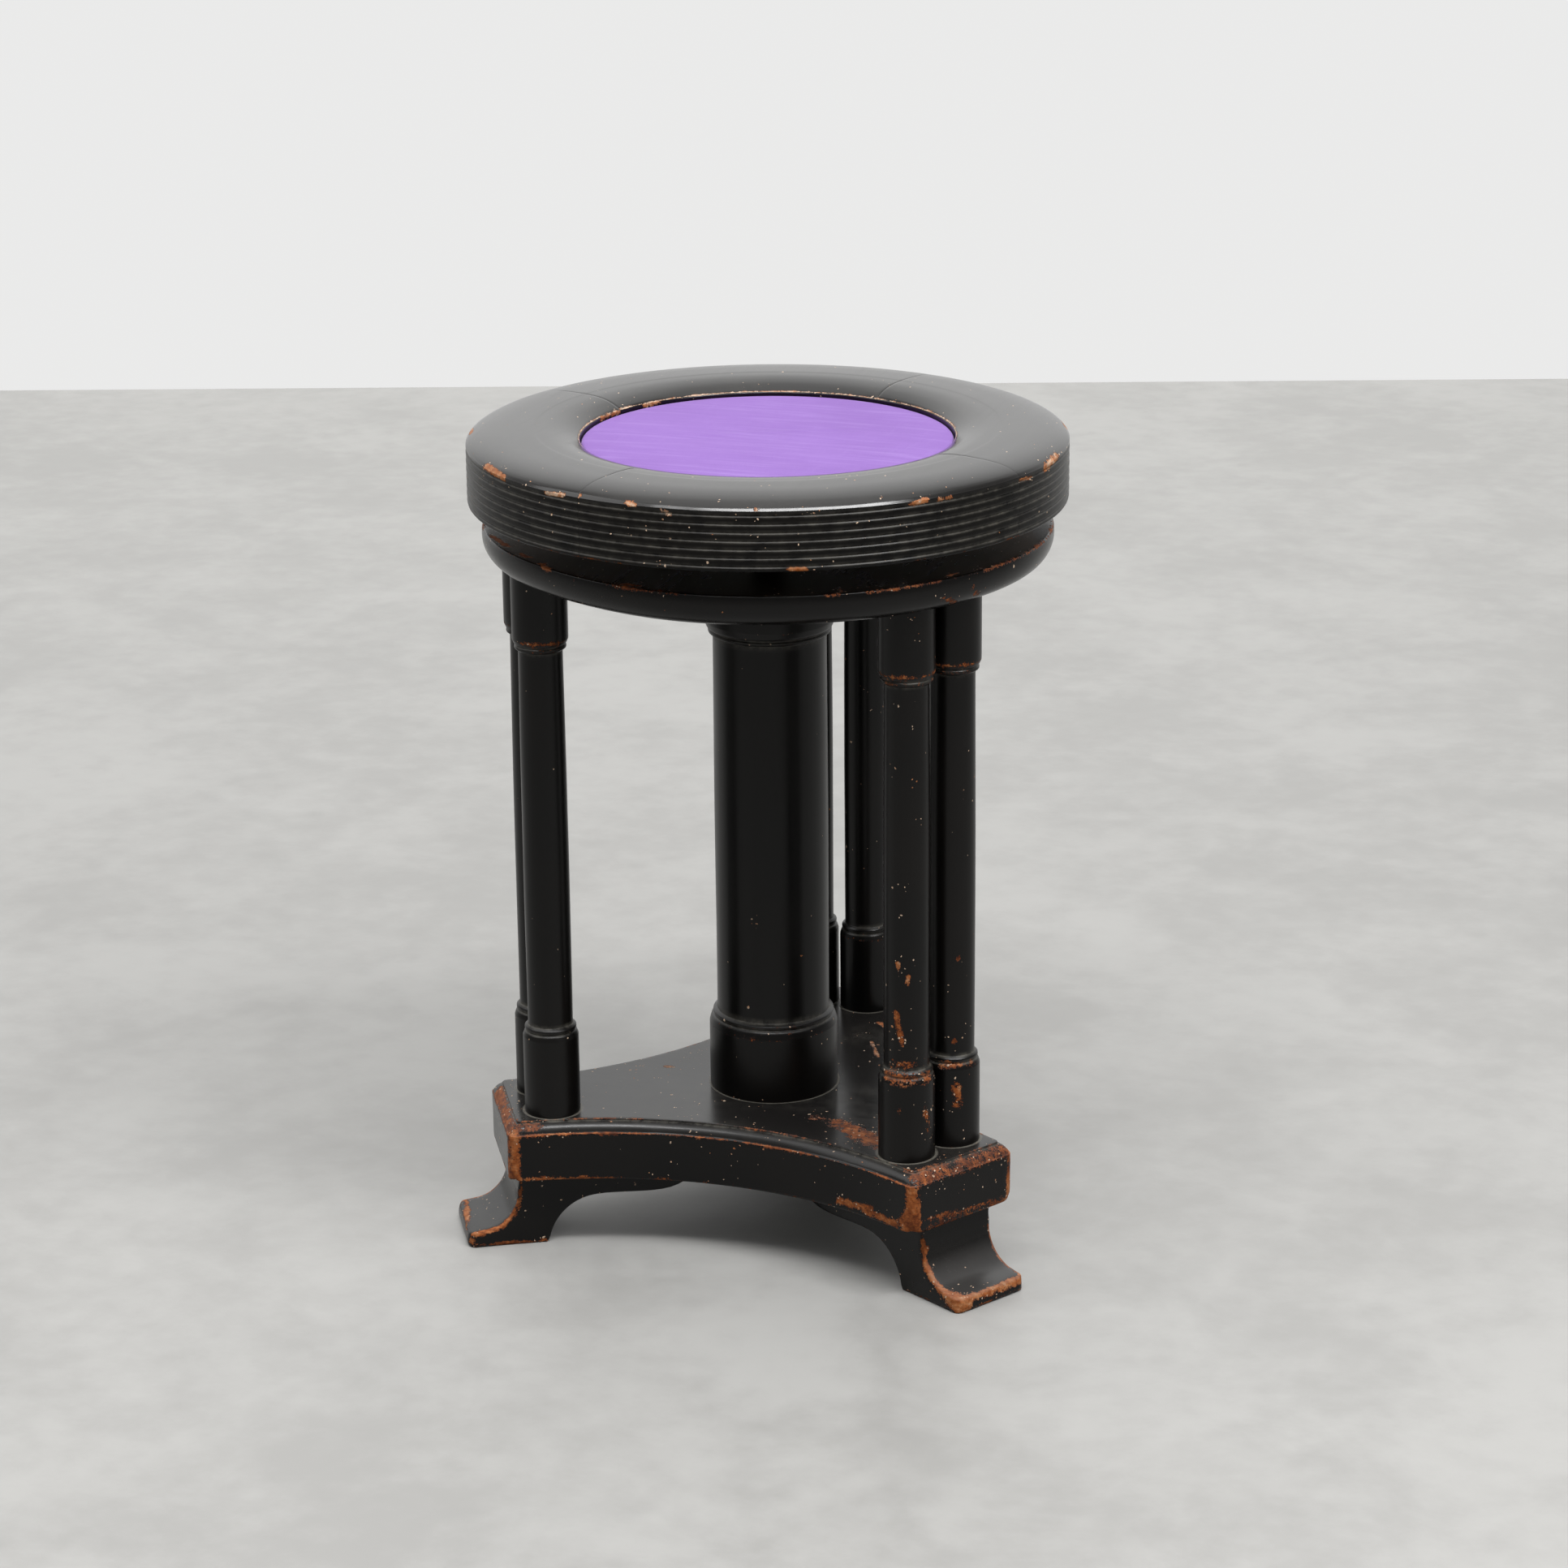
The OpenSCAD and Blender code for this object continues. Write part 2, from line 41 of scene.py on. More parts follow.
# Heights and radii of the construction, in millimetres.
FOOT_H = 47.0
FACE_TOP = 78.0
PLINTH_TOP = 85.0
DISC_Z0, DISC_Z1 = 427.0, 446.5
RIM_Z0, ARRIS_Z = 463.0, 499.0
BOARD_Z0, BOARD_Z1 = 465.0, 481.0
CLOTH_Z = 497.5
SEAT_R, RECESS_R, DISC_R = 180.0, 112.0, 171.5
CORNER_R, CORNER_W, WAIST_R = 173.5, 83.6, 86.0
FOOT_W = 56.0
JOINT_ANGLE = 72.5
PAIR_R, PAIR_HALF, BACK_TURN = 142.5, 18.3, 1.5
TR, TK = 13.9, 17.1
CR, CK = 34.8, 39.8


# ---------------------------------------------------------------- camera, light and floor

def make_camera():
    """The photograph's viewpoint: a long lens, 18 degrees above the horizon, turned 19.3 degrees about the axis."""
    yaw, pitch, roll, turn = 0.0031, 0.3166, 0.0094, math.radians(19.3)
    f = Vector((math.sin(yaw) * math.cos(pitch), math.cos(yaw) * math.cos(pitch), -math.sin(pitch)))
    right = f.cross(Vector((0, 0, 1))).normalized()
    down = f.cross(right)
    c, s = math.cos(roll), math.sin(roll)
    right, down = c * right + s * down, -s * right + c * down
    spin = Matrix.Rotation(turn, 3, "Z")
    place = spin @ Vector((0, -2.5374, 1.1106))
    f, right, down = spin @ f, spin @ right, spin @ down
    data = bpy.data.cameras.new("camera")
    data.sensor_width = 36.0
    data.lens = 36.0 * 5371.0 / 1932.0
    data.clip_start, data.clip_end = 0.05, 60.0
    cam = bpy.data.objects.new("camera", data)
    scene.collection.objects.link(cam)
    m = Matrix.Identity(4)
    for i in range(3):
        m[i][0], m[i][1], m[i][2], m[i][3] = right[i], -down[i], -f[i], place[i]
    cam.matrix_world = m
    scene.camera = cam
    return cam


def area_light(name, size, place, towards, power, colour=(1, 1, 1)):
    data = bpy.data.lights.new(name, "AREA")
    data.shape = "RECTANGLE"
    data.size, data.size_y = size
    data.energy = power
    data.color = colour
    ob = bpy.data.objects.new(name, data)
    scene.collection.objects.link(ob)
    ob.location = place
    ob.rotation_mode = "QUATERNION"
    ob.rotation_quaternion = (Vector(towards) - Vector(place)).to_track_quat("-Z", "Y")
    return ob


# ---------------------------------------------------------------- node graphs

class Graph:
    """Short names for building a material's nodes."""

    def __init__(self, name):
        self.mat = bpy.data.materials.new(name)
        self.mat.use_nodes = True
        self.tree = self.mat.node_tree
        self.tree.nodes.clear()
        self.out = self.tree.nodes.new("ShaderNodeOutputMaterial")
        self.coord = self.tree.nodes.new("ShaderNodeTexCoord").outputs["Object"]

    def put(self, socket, value):
        if isinstance(value, bpy.types.NodeSocket):
            self.tree.links.new(value, socket)
        else:
            if hasattr(socket.default_value, "__len__") and len(socket.default_value) == 4 and len(value) == 3:
                value = (*value, 1.0)
            socket.default_value = value

    def math(self, op, a, b=0.0, clamp=False):
        n = self.tree.nodes.new("ShaderNodeMath")
        n.operation, n.use_clamp = op, clamp
        self.put(n.inputs[0], a)
        self.put(n.inputs[1], b)
        return n.outputs[0]

    def vec(self, op, a, b=(0, 0, 0)):
        n = self.tree.nodes.new("ShaderNodeVectorMath")
        n.operation = op
        self.put(n.inputs[0], a)
        if op == "SCALE":
            self.put(n.inputs["Scale"], b)
        else:
            self.put(n.inputs[1], b)
        return n.outputs["Value"] if op in ("DISTANCE", "LENGTH", "DOT_PRODUCT") else n.outputs["Vector"]

    def step(self, value, a, b, low=0.0, high=1.0, smooth=True):
        n = self.tree.nodes.new("ShaderNodeMapRange")
        n.interpolation_type = "SMOOTHSTEP" if smooth else "LINEAR"
        self.put(n.inputs["Value"], value)
        for k, x in (("From Min", a), ("From Max", b), ("To Min", low), ("To Max", high)):
            self.put(n.inputs[k], x)
        return n.outputs["Result"]

    def mix(self, fac, a, b):
        n = self.tree.nodes.new("ShaderNodeMix")
        n.data_type = "RGBA"
        self.put(n.inputs[0], fac)
        self.put(n.inputs[6], a)
        self.put(n.inputs[7], b)
        return n.outputs[2]

    def ramp(self, fac, stops):
        n = self.tree.nodes.new("ShaderNodeValToRGB")
        e = n.color_ramp.elements
        while len(e) < len(stops):
            e.new(0.5)
        for el, (x, c) in zip(e, stops):
            el.position, el.color = x, (*c, 1.0)
        self.put(n.inputs["Fac"], fac)
        return n.outputs["Color"]

    def noise(self, scale, detail=3.0, rough=0.55, vector=None, distortion=0.0, seed=0.0):
        n = self.tree.nodes.new("ShaderNodeTexNoise")
        n.noise_dimensions = "3D"
        v = vector if vector is not None else self.coord
        if seed:
            v = self.vec("ADD", v, (seed * 0.37, seed * 0.53, seed * 0.71))
        self.put(n.inputs["Vector"], v)
        for k, x in (("Scale", scale), ("Detail", detail), ("Roughness", rough), ("Distortion", distortion)):
            self.put(n.inputs[k], x)
        return n.outputs["Fac"]

    def voronoi(self, scale, vector=None, feature="F1"):
        n = self.tree.nodes.new("ShaderNodeTexVoronoi")
        n.feature = feature
        self.put(n.inputs["Vector"], vector if vector is not None else self.coord)
        self.put(n.inputs["Scale"], scale)
        return n.outputs["Distance"], n.outputs.get("Color")

    def wave(self, scale, direction, vector=None, distortion=0.0, detail=0.0, detail_scale=1.0):
        n = self.tree.nodes.new("ShaderNodeTexWave")
        n.bands_direction = direction
        self.put(n.inputs["Vector"], vector if vector is not None else self.coord)
        for k, x in (("Scale", scale), ("Distortion", distortion), ("Detail", detail), ("Detail Scale", detail_scale)):
            self.put(n.inputs[k], x)
        return n.outputs["Fac"]

    def stretch(self, scale, rotate=0.0):
        """Object coordinates turned about Z by that angle in degrees and scaled along each axis."""
        n = self.tree.nodes.new("ShaderNodeMapping")
        n.vector_type = "POINT"
        self.put(n.inputs["Vector"], self.coord)
        n.inputs["Rotation"].default_value = (0, 0, math.radians(rotate))
        n.inputs["Scale"].default_value = scale
        return n.outputs["Vector"]

    def attr(self, name):
        n = self.tree.nodes.new("ShaderNodeAttribute")
        n.attribute_type = "GEOMETRY"
        n.attribute_name = name
        return n.outputs["Fac"]

    def split(self, colour):
        n = self.tree.nodes.new("ShaderNodeSeparateColor")
        self.put(n.inputs[0], colour)
        return n.outputs

    def bump(self, height, strength=1.0, distance=1.0, normal=None):
        n = self.tree.nodes.new("ShaderNodeBump")
        self.put(n.inputs["Height"], height)
        n.inputs["Strength"].default_value = strength
        n.inputs["Distance"].default_value = distance
        if normal is not None:
            self.put(n.inputs["Normal"], normal)
        return n.outputs["Normal"]

    def shader(self, **sockets):
        n = self.tree.nodes.new("ShaderNodeBsdfPrincipled")
        for k, v in sockets.items():
            self.put(n.inputs[k.replace("_", " ")], v)
        self.put(self.out.inputs["Surface"], n.outputs[0])
        return self.mat


# ---------------------------------------------------------------- materials



def lacquer(name, grain=(1.0, 1.0, 0.06), turn=0.0, seed=0.0, rings=None, rough=0.20, ripple=1.0, ior=1.31):
    """Black lacquer on wood, worn through to red-brown and tan wood where the mesh's wear says so, and lifted by a
    painted light pale grey veil on faces that look up.
    """
    g = Graph(name)
    wear, tone, speck, dust, painted_light, dull = (g.attr(k) for k in ("wear", "tone", "speck", "dust", "painted_light", "dull"))
    fine = g.noise(1000.0, 4.0, 0.62, seed=seed)
    mid = g.noise(280.0, 4.0, 0.6, seed=seed + 1)
    broad = g.noise(85.0, 3.0, 0.55, seed=seed + 8)
    mixed = g.math("ADD", g.math("MULTIPLY", fine, 0.40), g.math("MULTIPLY", mid, 0.36))
    mixed = g.math("ADD", mixed, g.math("MULTIPLY", broad, 0.24))
    # Worn places are ragged and leave islands of black, and untouched faces stay whole.
    ragged = g.step(wear, 0.05, 0.30, 0.0, 3.4)
    raw = g.math("ADD", wear, g.math("MULTIPLY", g.math("SUBTRACT", mixed, 0.5), ragged))
    bare = g.step(raw, 0.46, 0.53)
    # Small chips, one to a cell at random, in two sizes.
    warp = g.vec("ADD", g.coord, g.vec("SCALE", g.vec("SUBTRACT", g.tree_colour_noise(420.0), (0.5, 0.5, 0.5)), 0.0022))
    chips = None
    for scale, share, size in ((230.0, 0.9, 0.20), (520.0, 0.9, 0.30)):
        d, c = g.voronoi(scale, warp)
        cell = g.split(c)
        chosen = g.math("LESS_THAN", cell[0], g.math("MULTIPLY", speck, share))
        radius = g.step(cell[1], 0.0, 1.0, size * 0.3, size, smooth=False)
        inside = g.math("MULTIPLY", chosen, g.math("LESS_THAN", d, radius))
        tint = g.math("MULTIPLY", inside, g.step(cell[2], 0.0, 1.0, 0.30, 1.0, smooth=False))
        chips = (inside, tint) if chips is None else (g.math("MAXIMUM", chips[0], inside), g.math("MAXIMUM", chips[1], tint))
    bare = g.math("MAXIMUM", bare, chips[0])
    # Colour of what shows: dark red stain at the rim of a worn place, brown and tan wood inside it.
    shade = g.math("ADD", tone, g.math("MULTIPLY", g.math("SUBTRACT", g.noise(210.0, 5.0, 0.65, seed=seed + 2), 0.5), 1.5))
    shade = g.math("ADD", shade, g.math("MULTIPLY", chips[1], 1.0), clamp=True)
    wood = g.ramp(shade, [(0.0, (0.034, 0.008, 0.004)), (0.24, (0.112, 0.029, 0.008)), (0.46, (0.228, 0.066, 0.017)),
                          (0.72, (0.310, 0.130, 0.053)), (1.0, (0.470, 0.350, 0.255))])
    edge = g.math("MAXIMUM", g.step(raw, 0.46, 0.74), chips[0])
    wood = g.mix(edge, (0.045, 0.012, 0.007), wood)
    fibre = g.noise(900.0, 3.0, 0.6, g.stretch(grain, turn), seed=seed + 3)
    wood = g.mix(g.math("MULTIPLY", g.step(fibre, 0.35, 0.7), 0.4), wood, (0.020, 0.009, 0.006))
    cloud = g.noise(14.0, 3.0, 0.5, seed=seed + 4)
    black = g.mix(g.step(cloud, 0.35, 0.7), (0.0014, 0.0012, 0.0011), (0.0026, 0.0020, 0.0017))
    haze = g.math("MULTIPLY", dust, g.step(g.noise(120.0, 4.0, 0.65, seed=seed + 5), 0.30, 0.75), clamp=True)
    if rings is not None:
        haze = g.math("MAXIMUM", haze, g.math("MULTIPLY", rings(g), g.step(mixed, 0.30, 0.55)), clamp=True)
    colour = g.mix(bare, black, wood)
    colour = g.mix(haze, colour, (0.105, 0.098, 0.082))
    # Painted light: faces that look up are lifted towards a pale grey, as if more light fell on them.
    colour = g.mix(painted_light, colour, (0.104, 0.100, 0.097))
    # Finish: brushed lacquer with faint streaks, dull where it is worn or dusty.
    streak = g.noise(260.0, 4.0, 0.6, g.stretch(grain, turn), seed=seed + 6)
    gloss = g.math("ADD", rough, g.math("MULTIPLY", g.step(cloud, 0.30, 0.75), 0.05))
    gloss = g.math("ADD", gloss, g.math("MULTIPLY", g.math("SUBTRACT", streak, 0.5), 0.12))
    gloss = g.math("ADD", gloss, g.math("MULTIPLY", bare, 0.34))
    gloss = g.math("ADD", gloss, g.math("MULTIPLY", dull, 0.14))
    gloss = g.math("ADD", gloss, g.math("MULTIPLY", haze, 0.35), clamp=True)
    swell = g.noise(60.0, 2.0, 0.5, seed=seed + 7)
    height = g.math("ADD", g.math("MULTIPLY", streak, 0.000012 * ripple), g.math("MULTIPLY", swell, 0.00005 * ripple))
    height = g.math("ADD", height, g.math("MULTIPLY", fine, 0.000004 * ripple))
    height = g.math("SUBTRACT", height, g.math("MULTIPLY", bare, 0.00010))
    height = g.math("ADD", height, g.math("MULTIPLY", g.math("MULTIPLY", bare, fibre), 0.00008))
    shine = g.math("SUBTRACT", 0.5, g.math("MULTIPLY", bare, 0.28))
    shine = g.math("SUBTRACT", shine, g.math("MULTIPLY", dull, 0.27))
    return g.shader(Base_Color=colour, Roughness=gloss, IOR=ior, Specular_IOR_Level=shine, Normal=g.bump(height))


def _colour_noise(self, scale):
    n = self.tree.nodes.new("ShaderNodeTexNoise")
    self.put(n.inputs["Vector"], self.coord)
    self.put(n.inputs["Scale"], scale)
    self.put(n.inputs["Detail"], 2.0)
    return n.outputs["Color"]


Graph.tree_colour_noise = _colour_noise


def posts():
    """Where the thin columns stand: {name: (x, y)}."""
    out = {}
    for name, a, s in (("column_back_left", 90, 1), ("column_back_right", 90, -1), ("column_left_back", 210, -1),
                       ("column_left_front", 210, 1), ("column_right_front", 330, -1), ("column_right_back", 330, 1)):
        t = math.radians(a + (BACK_TURN if a == 90 else 0))
        out[name] = (PAIR_R * math.cos(t) - s * PAIR_HALF * math.sin(t), PAIR_R * math.sin(t) + s * PAIR_HALF * math.cos(t))
    return out


POSTS = posts()


def collar_rings(g):
    """A thin ring of dust on the plinth round the foot of every column."""
    best = None
    flat = g.vec("MULTIPLY", g.coord, (1, 1, 0))
    for x, y in POSTS.values():
        d = g.vec("DISTANCE", flat, (x * MM, y * MM, 0))
        best = d if best is None else g.math("MINIMUM", best, d)
    near = g.step(g.math("ABSOLUTE", g.math("SUBTRACT", best, (TK + 0.7) * MM)), 0.0003, 0.0016, 1.0, 0.0)
    centre = g.vec("DISTANCE", flat, (0, 0, 0))
    mid = g.step(g.math("ABSOLUTE", g.math("SUBTRACT", centre, (CK + 0.5) * MM)), 0.0002, 0.0012, 1.0, 0.0)
    return g.math("MULTIPLY", g.math("MAXIMUM", near, mid), 0.72)


def iron(name, colour, rough, seed=0.0):
    g = Graph(name)
    a = g.noise(180.0, 6.0, 0.62, seed=seed)
    b = g.noise(28.0, 3.0, 0.5, seed=seed + 1)
    tint = g.mix(g.step(b, 0.35, 0.7), colour, tuple(c * k for c, k in zip(colour, (1.35, 1.12, 0.9))))
    tint = g.mix(g.math("MULTIPLY", g.step(a, 0.56, 0.74), 0.7), tint, (0.085, 0.040, 0.020))
    gloss = g.math("ADD", rough, g.math("MULTIPLY", g.math("SUBTRACT", a, 0.5), 0.35), clamp=True)
    return g.shader(Base_Color=tint, Metallic=0.85, Roughness=gloss, Normal=g.bump(g.math("MULTIPLY", a, 0.00012)))


def steel(name):
    g = Graph(name)
    a = g.noise(700.0, 4.0, 0.6)
    lines = g.noise(1500.0, 2.0, 0.5, g.stretch((1.0, 0.05, 1.0), 30))
    tint = g.mix(g.step(g.noise(110.0, 4.0, 0.6, seed=3), 0.45, 0.72), (0.34, 0.32, 0.29), (0.12, 0.065, 0.035))
    gloss = g.math("ADD", 0.30, g.math("MULTIPLY", a, 0.25))
    height = g.math("ADD", g.math("MULTIPLY", lines, 0.00002), g.math("MULTIPLY", a, 0.00003))
    return g.shader(Base_Color=tint, Metallic=1.0, Roughness=gloss, Normal=g.bump(height))


def bare_wood(name, turn, pale=(0.36, 0.215, 0.115), dark=(0.205, 0.105, 0.048), seed=0.0):
    g = Graph(name)
    v = g.stretch((1.0, 0.07, 1.0), turn)
    board = g.noise(22.0, 3.0, 0.5, v, distortion=0.6, seed=seed)
    grain = g.wave(30.0, "X", g.vec("ADD", v, g.vec("SCALE", g.tree_colour_noise(9.0), 0.012)), 5.0, 3.0, 1.4)
    pores = g.noise(1100.0, 3.0, 0.6, g.stretch((1.0, 0.035, 1.0), turn), seed=seed + 1)
    tint = g.mix(g.math("MULTIPLY", grain, g.step(board, 0.30, 0.75)), pale, dark)
    tint = g.mix(g.math("MULTIPLY", g.step(pores, 0.54, 0.72), 0.6), tint, (0.085, 0.043, 0.022))
    tint = g.mix(g.step(g.noise(7.0, 3.0, 0.6, seed=seed + 2), 0.55, 0.85, 0.0, 0.45), tint, (0.10, 0.065, 0.042))
    height = g.math("ADD", g.math("MULTIPLY", pores, -0.00008), g.math("MULTIPLY", grain, 0.00004))
    return g.shader(Base_Color=tint, Roughness=g.step(pores, 0.3, 0.8, 0.62, 0.80), IOR=1.45, Normal=g.bump(height))


def cloth(name):
    """Plain-woven purple cloth: fine threads and slubs along the weft."""
    g = Graph(name)
    turned = g.stretch((1.0, 1.0, 1.0), -19.3)
    warp = g.wave(560.0, "X", turned, 0.6, 1.0, 3.0)
    weft = g.wave(560.0, "Y", turned, 0.6, 1.0, 3.0)
    weave = g.math("MAXIMUM", warp, weft)
    slub = g.noise(300.0, 3.0, 0.6, g.stretch((0.06, 1.0, 1.0), -19.3))
    slub2 = g.noise(420.0, 2.0, 0.5, g.stretch((1.0, 0.08, 1.0), -19.3), seed=2)
    broad = g.noise(11.0, 3.0, 0.55, seed=4)
    fuzz = g.noise(1500.0, 2.0, 0.7, seed=6)
    tint = g.mix(g.step(broad, 0.32, 0.70), CLOTH_A, CLOTH_B)
    tint = g.mix(g.math("MULTIPLY", g.step(slub, 0.50, 0.70), 0.40), tint, CLOTH_LIGHT)
    tint = g.mix(g.math("MULTIPLY", g.step(slub, 0.46, 0.30), 0.26), tint, CLOTH_DARK)
    tint = g.mix(g.math("MULTIPLY", g.step(slub2, 0.55, 0.75), 0.10), tint, CLOTH_LIGHT)
    tint = g.mix(g.math("MULTIPLY", g.math("SUBTRACT", 1.0, weave), 0.22), tint, CLOTH_DARK)
    tint = g.mix(g.math("MULTIPLY", g.step(fuzz, 0.55, 0.8), 0.12), tint, CLOTH_LIGHT)
    height = g.math("ADD", g.math("MULTIPLY", weave, 0.00010), g.math("MULTIPLY", slub, 0.00016))
    height = g.math("ADD", height, g.math("MULTIPLY", fuzz, 0.00005))
    return g.shader(Base_Color=tint, Roughness=g.step(fuzz, 0.2, 0.8, 0.78, 0.95), IOR=1.45, Specular_IOR_Level=0.25,
                    Sheen_Weight=0.18, Sheen_Roughness=0.5, Sheen_Tint=(0.86, 0.74, 1.0), Normal=g.bump(height, 0.8))


CLOTH_A = (0.137, 0.0625, 0.250)
CLOTH_B = (0.152, 0.0725, 0.274)
CLOTH_LIGHT = (0.215, 0.131, 0.346)
CLOTH_DARK = (0.107, 0.0455, 0.207)


def felt(name):
    g = Graph(name)
    a = g.noise(900.0, 5.0, 0.75)
    b = g.noise(40.0, 3.0, 0.6, seed=2)
    fibres = g.noise(500.0, 3.0, 0.6, g.stretch((0.15, 1.0, 1.0), 25), distortion=1.2)
    tint = g.mix(g.step(b, 0.3, 0.7), (0.55, 0.50, 0.42), (0.47, 0.42, 0.34))
    tint = g.mix(g.math("MULTIPLY", g.step(fibres, 0.5, 0.75), 0.4), tint, (0.70, 0.66, 0.58))
    height = g.math("ADD", g.math("MULTIPLY", a, 0.0003), g.math("MULTIPLY", fibres, 0.0002))
    return g.shader(Base_Color=tint, Roughness=g.step(a, 0.2, 0.8, 0.85, 1.0), IOR=1.45, Sheen_Weight=0.3, Normal=g.bump(height))


def floor_paint(name):
    g = Graph(name)
    a = g.noise(2.6, 4.0, 0.55)
    b = g.noise(9.0, 5.0, 0.62, seed=3, distortion=0.4)
    c = g.noise(45.0, 4.0, 0.6, seed=5)
    cloud = g.math("ADD", g.math("MULTIPLY", a, 0.35), g.math("MULTIPLY", b, 0.45))
    cloud = g.math("ADD", cloud, g.math("MULTIPLY", c, 0.20))
    tint = g.mix(g.step(cloud, 0.38, 0.62), FLOOR_A, FLOOR_B)
    tint = g.mix(g.math("MULTIPLY", g.step(g.noise(300.0, 4.0, 0.65, seed=9), 0.56, 0.75), 0.12), tint, FLOOR_SPOT)
    # Painted light: the floor's colour is made paler towards the wall, standing in for the brighter light on the far
    # floor.
    wall = g.step(g.vec("DOT_PRODUCT", g.coord, (-0.3305, 0.9438, 0.0)), 0.6, 2.3, 0.94, 1.33, smooth=False)
    tint = g.vec("SCALE", tint, wall)
    height = g.math("ADD", g.math("MULTIPLY", b, 0.0003), g.math("MULTIPLY", c, 0.00008))
    return g.shader(Base_Color=tint, Roughness=g.step(b, 0.2, 0.8, 0.50, 0.62), IOR=1.45, Normal=g.bump(height, 0.6))


FLOOR_A = (0.219, 0.216, 0.208)
FLOOR_B = (0.268, 0.265, 0.256)
FLOOR_SPOT = (0.20, 0.195, 0.185)


# ---------------------------------------------------------------- noise and profiles

def _hash(ix, iy, iz, seed):
    h = (ix * 374761393 + iy * 668265263 + iz * 1440662683 + seed * 1274126177) & 0xFFFFFFFF
    h = ((h ^ (h >> 13)) * 1274126177) & 0xFFFFFFFF
    return ((h ^ (h >> 16)) & 0xFFFFFF) / float(0xFFFFFF)


def noise(p, scale, seed=0):
    """Smooth value noise from 0 to 1 at points in millimetres."""
    q = np.asarray(p, float) * scale + 512.0
    i = np.floor(q).astype(np.int64)
    f = q - i
    f = f * f * (3 - 2 * f)
    out = np.zeros(len(q))
    for dx in (0, 1):
        for dy in (0, 1):
            for dz in (0, 1):
                w = (f[:, 0] if dx else 1 - f[:, 0]) * (f[:, 1] if dy else 1 - f[:, 1]) * (f[:, 2] if dz else 1 - f[:, 2])
                out += w * _hash(i[:, 0] + dx, i[:, 1] + dy, i[:, 2] + dz, seed)
    return out


def layered(p, scale, seed=0, octaves=3):
    total, weight, out = 0.0, 1.0, 0.0
    for k in range(octaves):
        out = out + weight * noise(p, scale * 2 ** k, seed + k)
        total += weight
        weight *= 0.5
    return out / total


def smooth(x, a, b):
    t = np.clip((x - a) / (b - a), 0, 1)
    return t * t * (3 - 2 * t)


def rounded(points, closed=False, step=3.0, support=0.35):
    """Turns (r, z, fillet, mark) corners into a fine outline: points and marks. Mark is how worn a corner is,
    or -1 where dust gathers in a hollow."""
    pts, marks = [], []
    n = len(points)
    for i, p in enumerate(points):
        here = np.array(p[:2], float)
        f = p[2] if len(p) > 2 else 0.0
        mark = p[3] if len(p) > 3 else 0.0
        if f <= 0 or (not closed and i in (0, n - 1)):
            pts.append(here)
            marks.append(mark)
            continue
        a, b = np.array(points[i - 1][:2], float) - here, np.array(points[(i + 1) % n][:2], float) - here
        la, lb = np.linalg.norm(a), np.linalg.norm(b)
        a, b = a / la, b / lb
        angle = math.acos(max(-1, min(1, float(a @ b))))
        if angle > math.radians(176):
            pts.append(here)
            marks.append(mark)
            continue
        t = min(f / math.tan(angle / 2), 0.46 * la, 0.46 * lb)
        r = t * math.tan(angle / 2)
        mid = (a + b) / np.linalg.norm(a + b)
        centre = here + mid * (r / math.sin(angle / 2))
        start, end = here + a * t, here + b * t
        a0 = math.atan2(*(start - centre)[::-1])
        a1 = math.atan2(*(end - centre)[::-1])
        d = (a1 - a0 + math.pi) % (2 * math.pi) - math.pi
        k = max(2, int(math.ceil(abs(d) / math.radians(20))))
        sa, sb = min(support, 0.3 * (0.5 * la - t) + 1e-4), min(support, 0.3 * (0.5 * lb - t) + 1e-4)
        if sa > 0.02:
            pts.append(start + a * sa)
            marks.append(0.0)
        for j in range(k + 1):
            w = a0 + d * j / k
            pts.append(centre + r * np.array([math.cos(w), math.sin(w)]))
            marks.append(mark)
        if sb > 0.02:
            pts.append(end + b * sb)
            marks.append(0.0)
    out, lab = [], []
    m = len(pts)
    for i in range(m if closed else m - 1):
        p, q = pts[i], pts[(i + 1) % m]
        k = max(1, int(math.ceil(np.linalg.norm(q - p) / step)))
        for j in range(k):
            out.append(p + (q - p) * j / k)
            lab.append(marks[i] if j == 0 else 0.0)
    if not closed:
        out.append(pts[-1])
        lab.append(marks[-1])
    return np.array(out), np.array(lab)


def spline(points, parts=4):
    """Centripetal curve through the points, as a finer list."""
    p = [np.array(q, float) for q in points]
    p = [2 * p[0] - p[1]] + p + [2 * p[-1] - p[-2]]
    out = []
    for i in range(1, len(p) - 2):
        a, b, c, d = p[i - 1:i + 3]
        t = [0.0]
        for u, v in ((a, b), (b, c), (c, d)):
            t.append(t[-1] + max(1e-6, np.linalg.norm(v - u)) ** 0.5)
        for j in range(parts):
            s = t[1] + (t[2] - t[1]) * j / parts
            a1 = (t[1] - s) / (t[1] - t[0]) * a + (s - t[0]) / (t[1] - t[0]) * b
            a2 = (t[2] - s) / (t[2] - t[1]) * b + (s - t[1]) / (t[2] - t[1]) * c
            a3 = (t[3] - s) / (t[3] - t[2]) * c + (s - t[2]) / (t[3] - t[2]) * d
            b1 = (t[2] - s) / (t[2] - t[0]) * a1 + (s - t[0]) / (t[2] - t[0]) * a2
            b2 = (t[3] - s) / (t[3] - t[1]) * a2 + (s - t[1]) / (t[3] - t[1]) * a3
            out.append((t[2] - s) / (t[2] - t[1]) * b1 + (s - t[1]) / (t[2] - t[1]) * b2)
    out.append(p[-2])
    return out


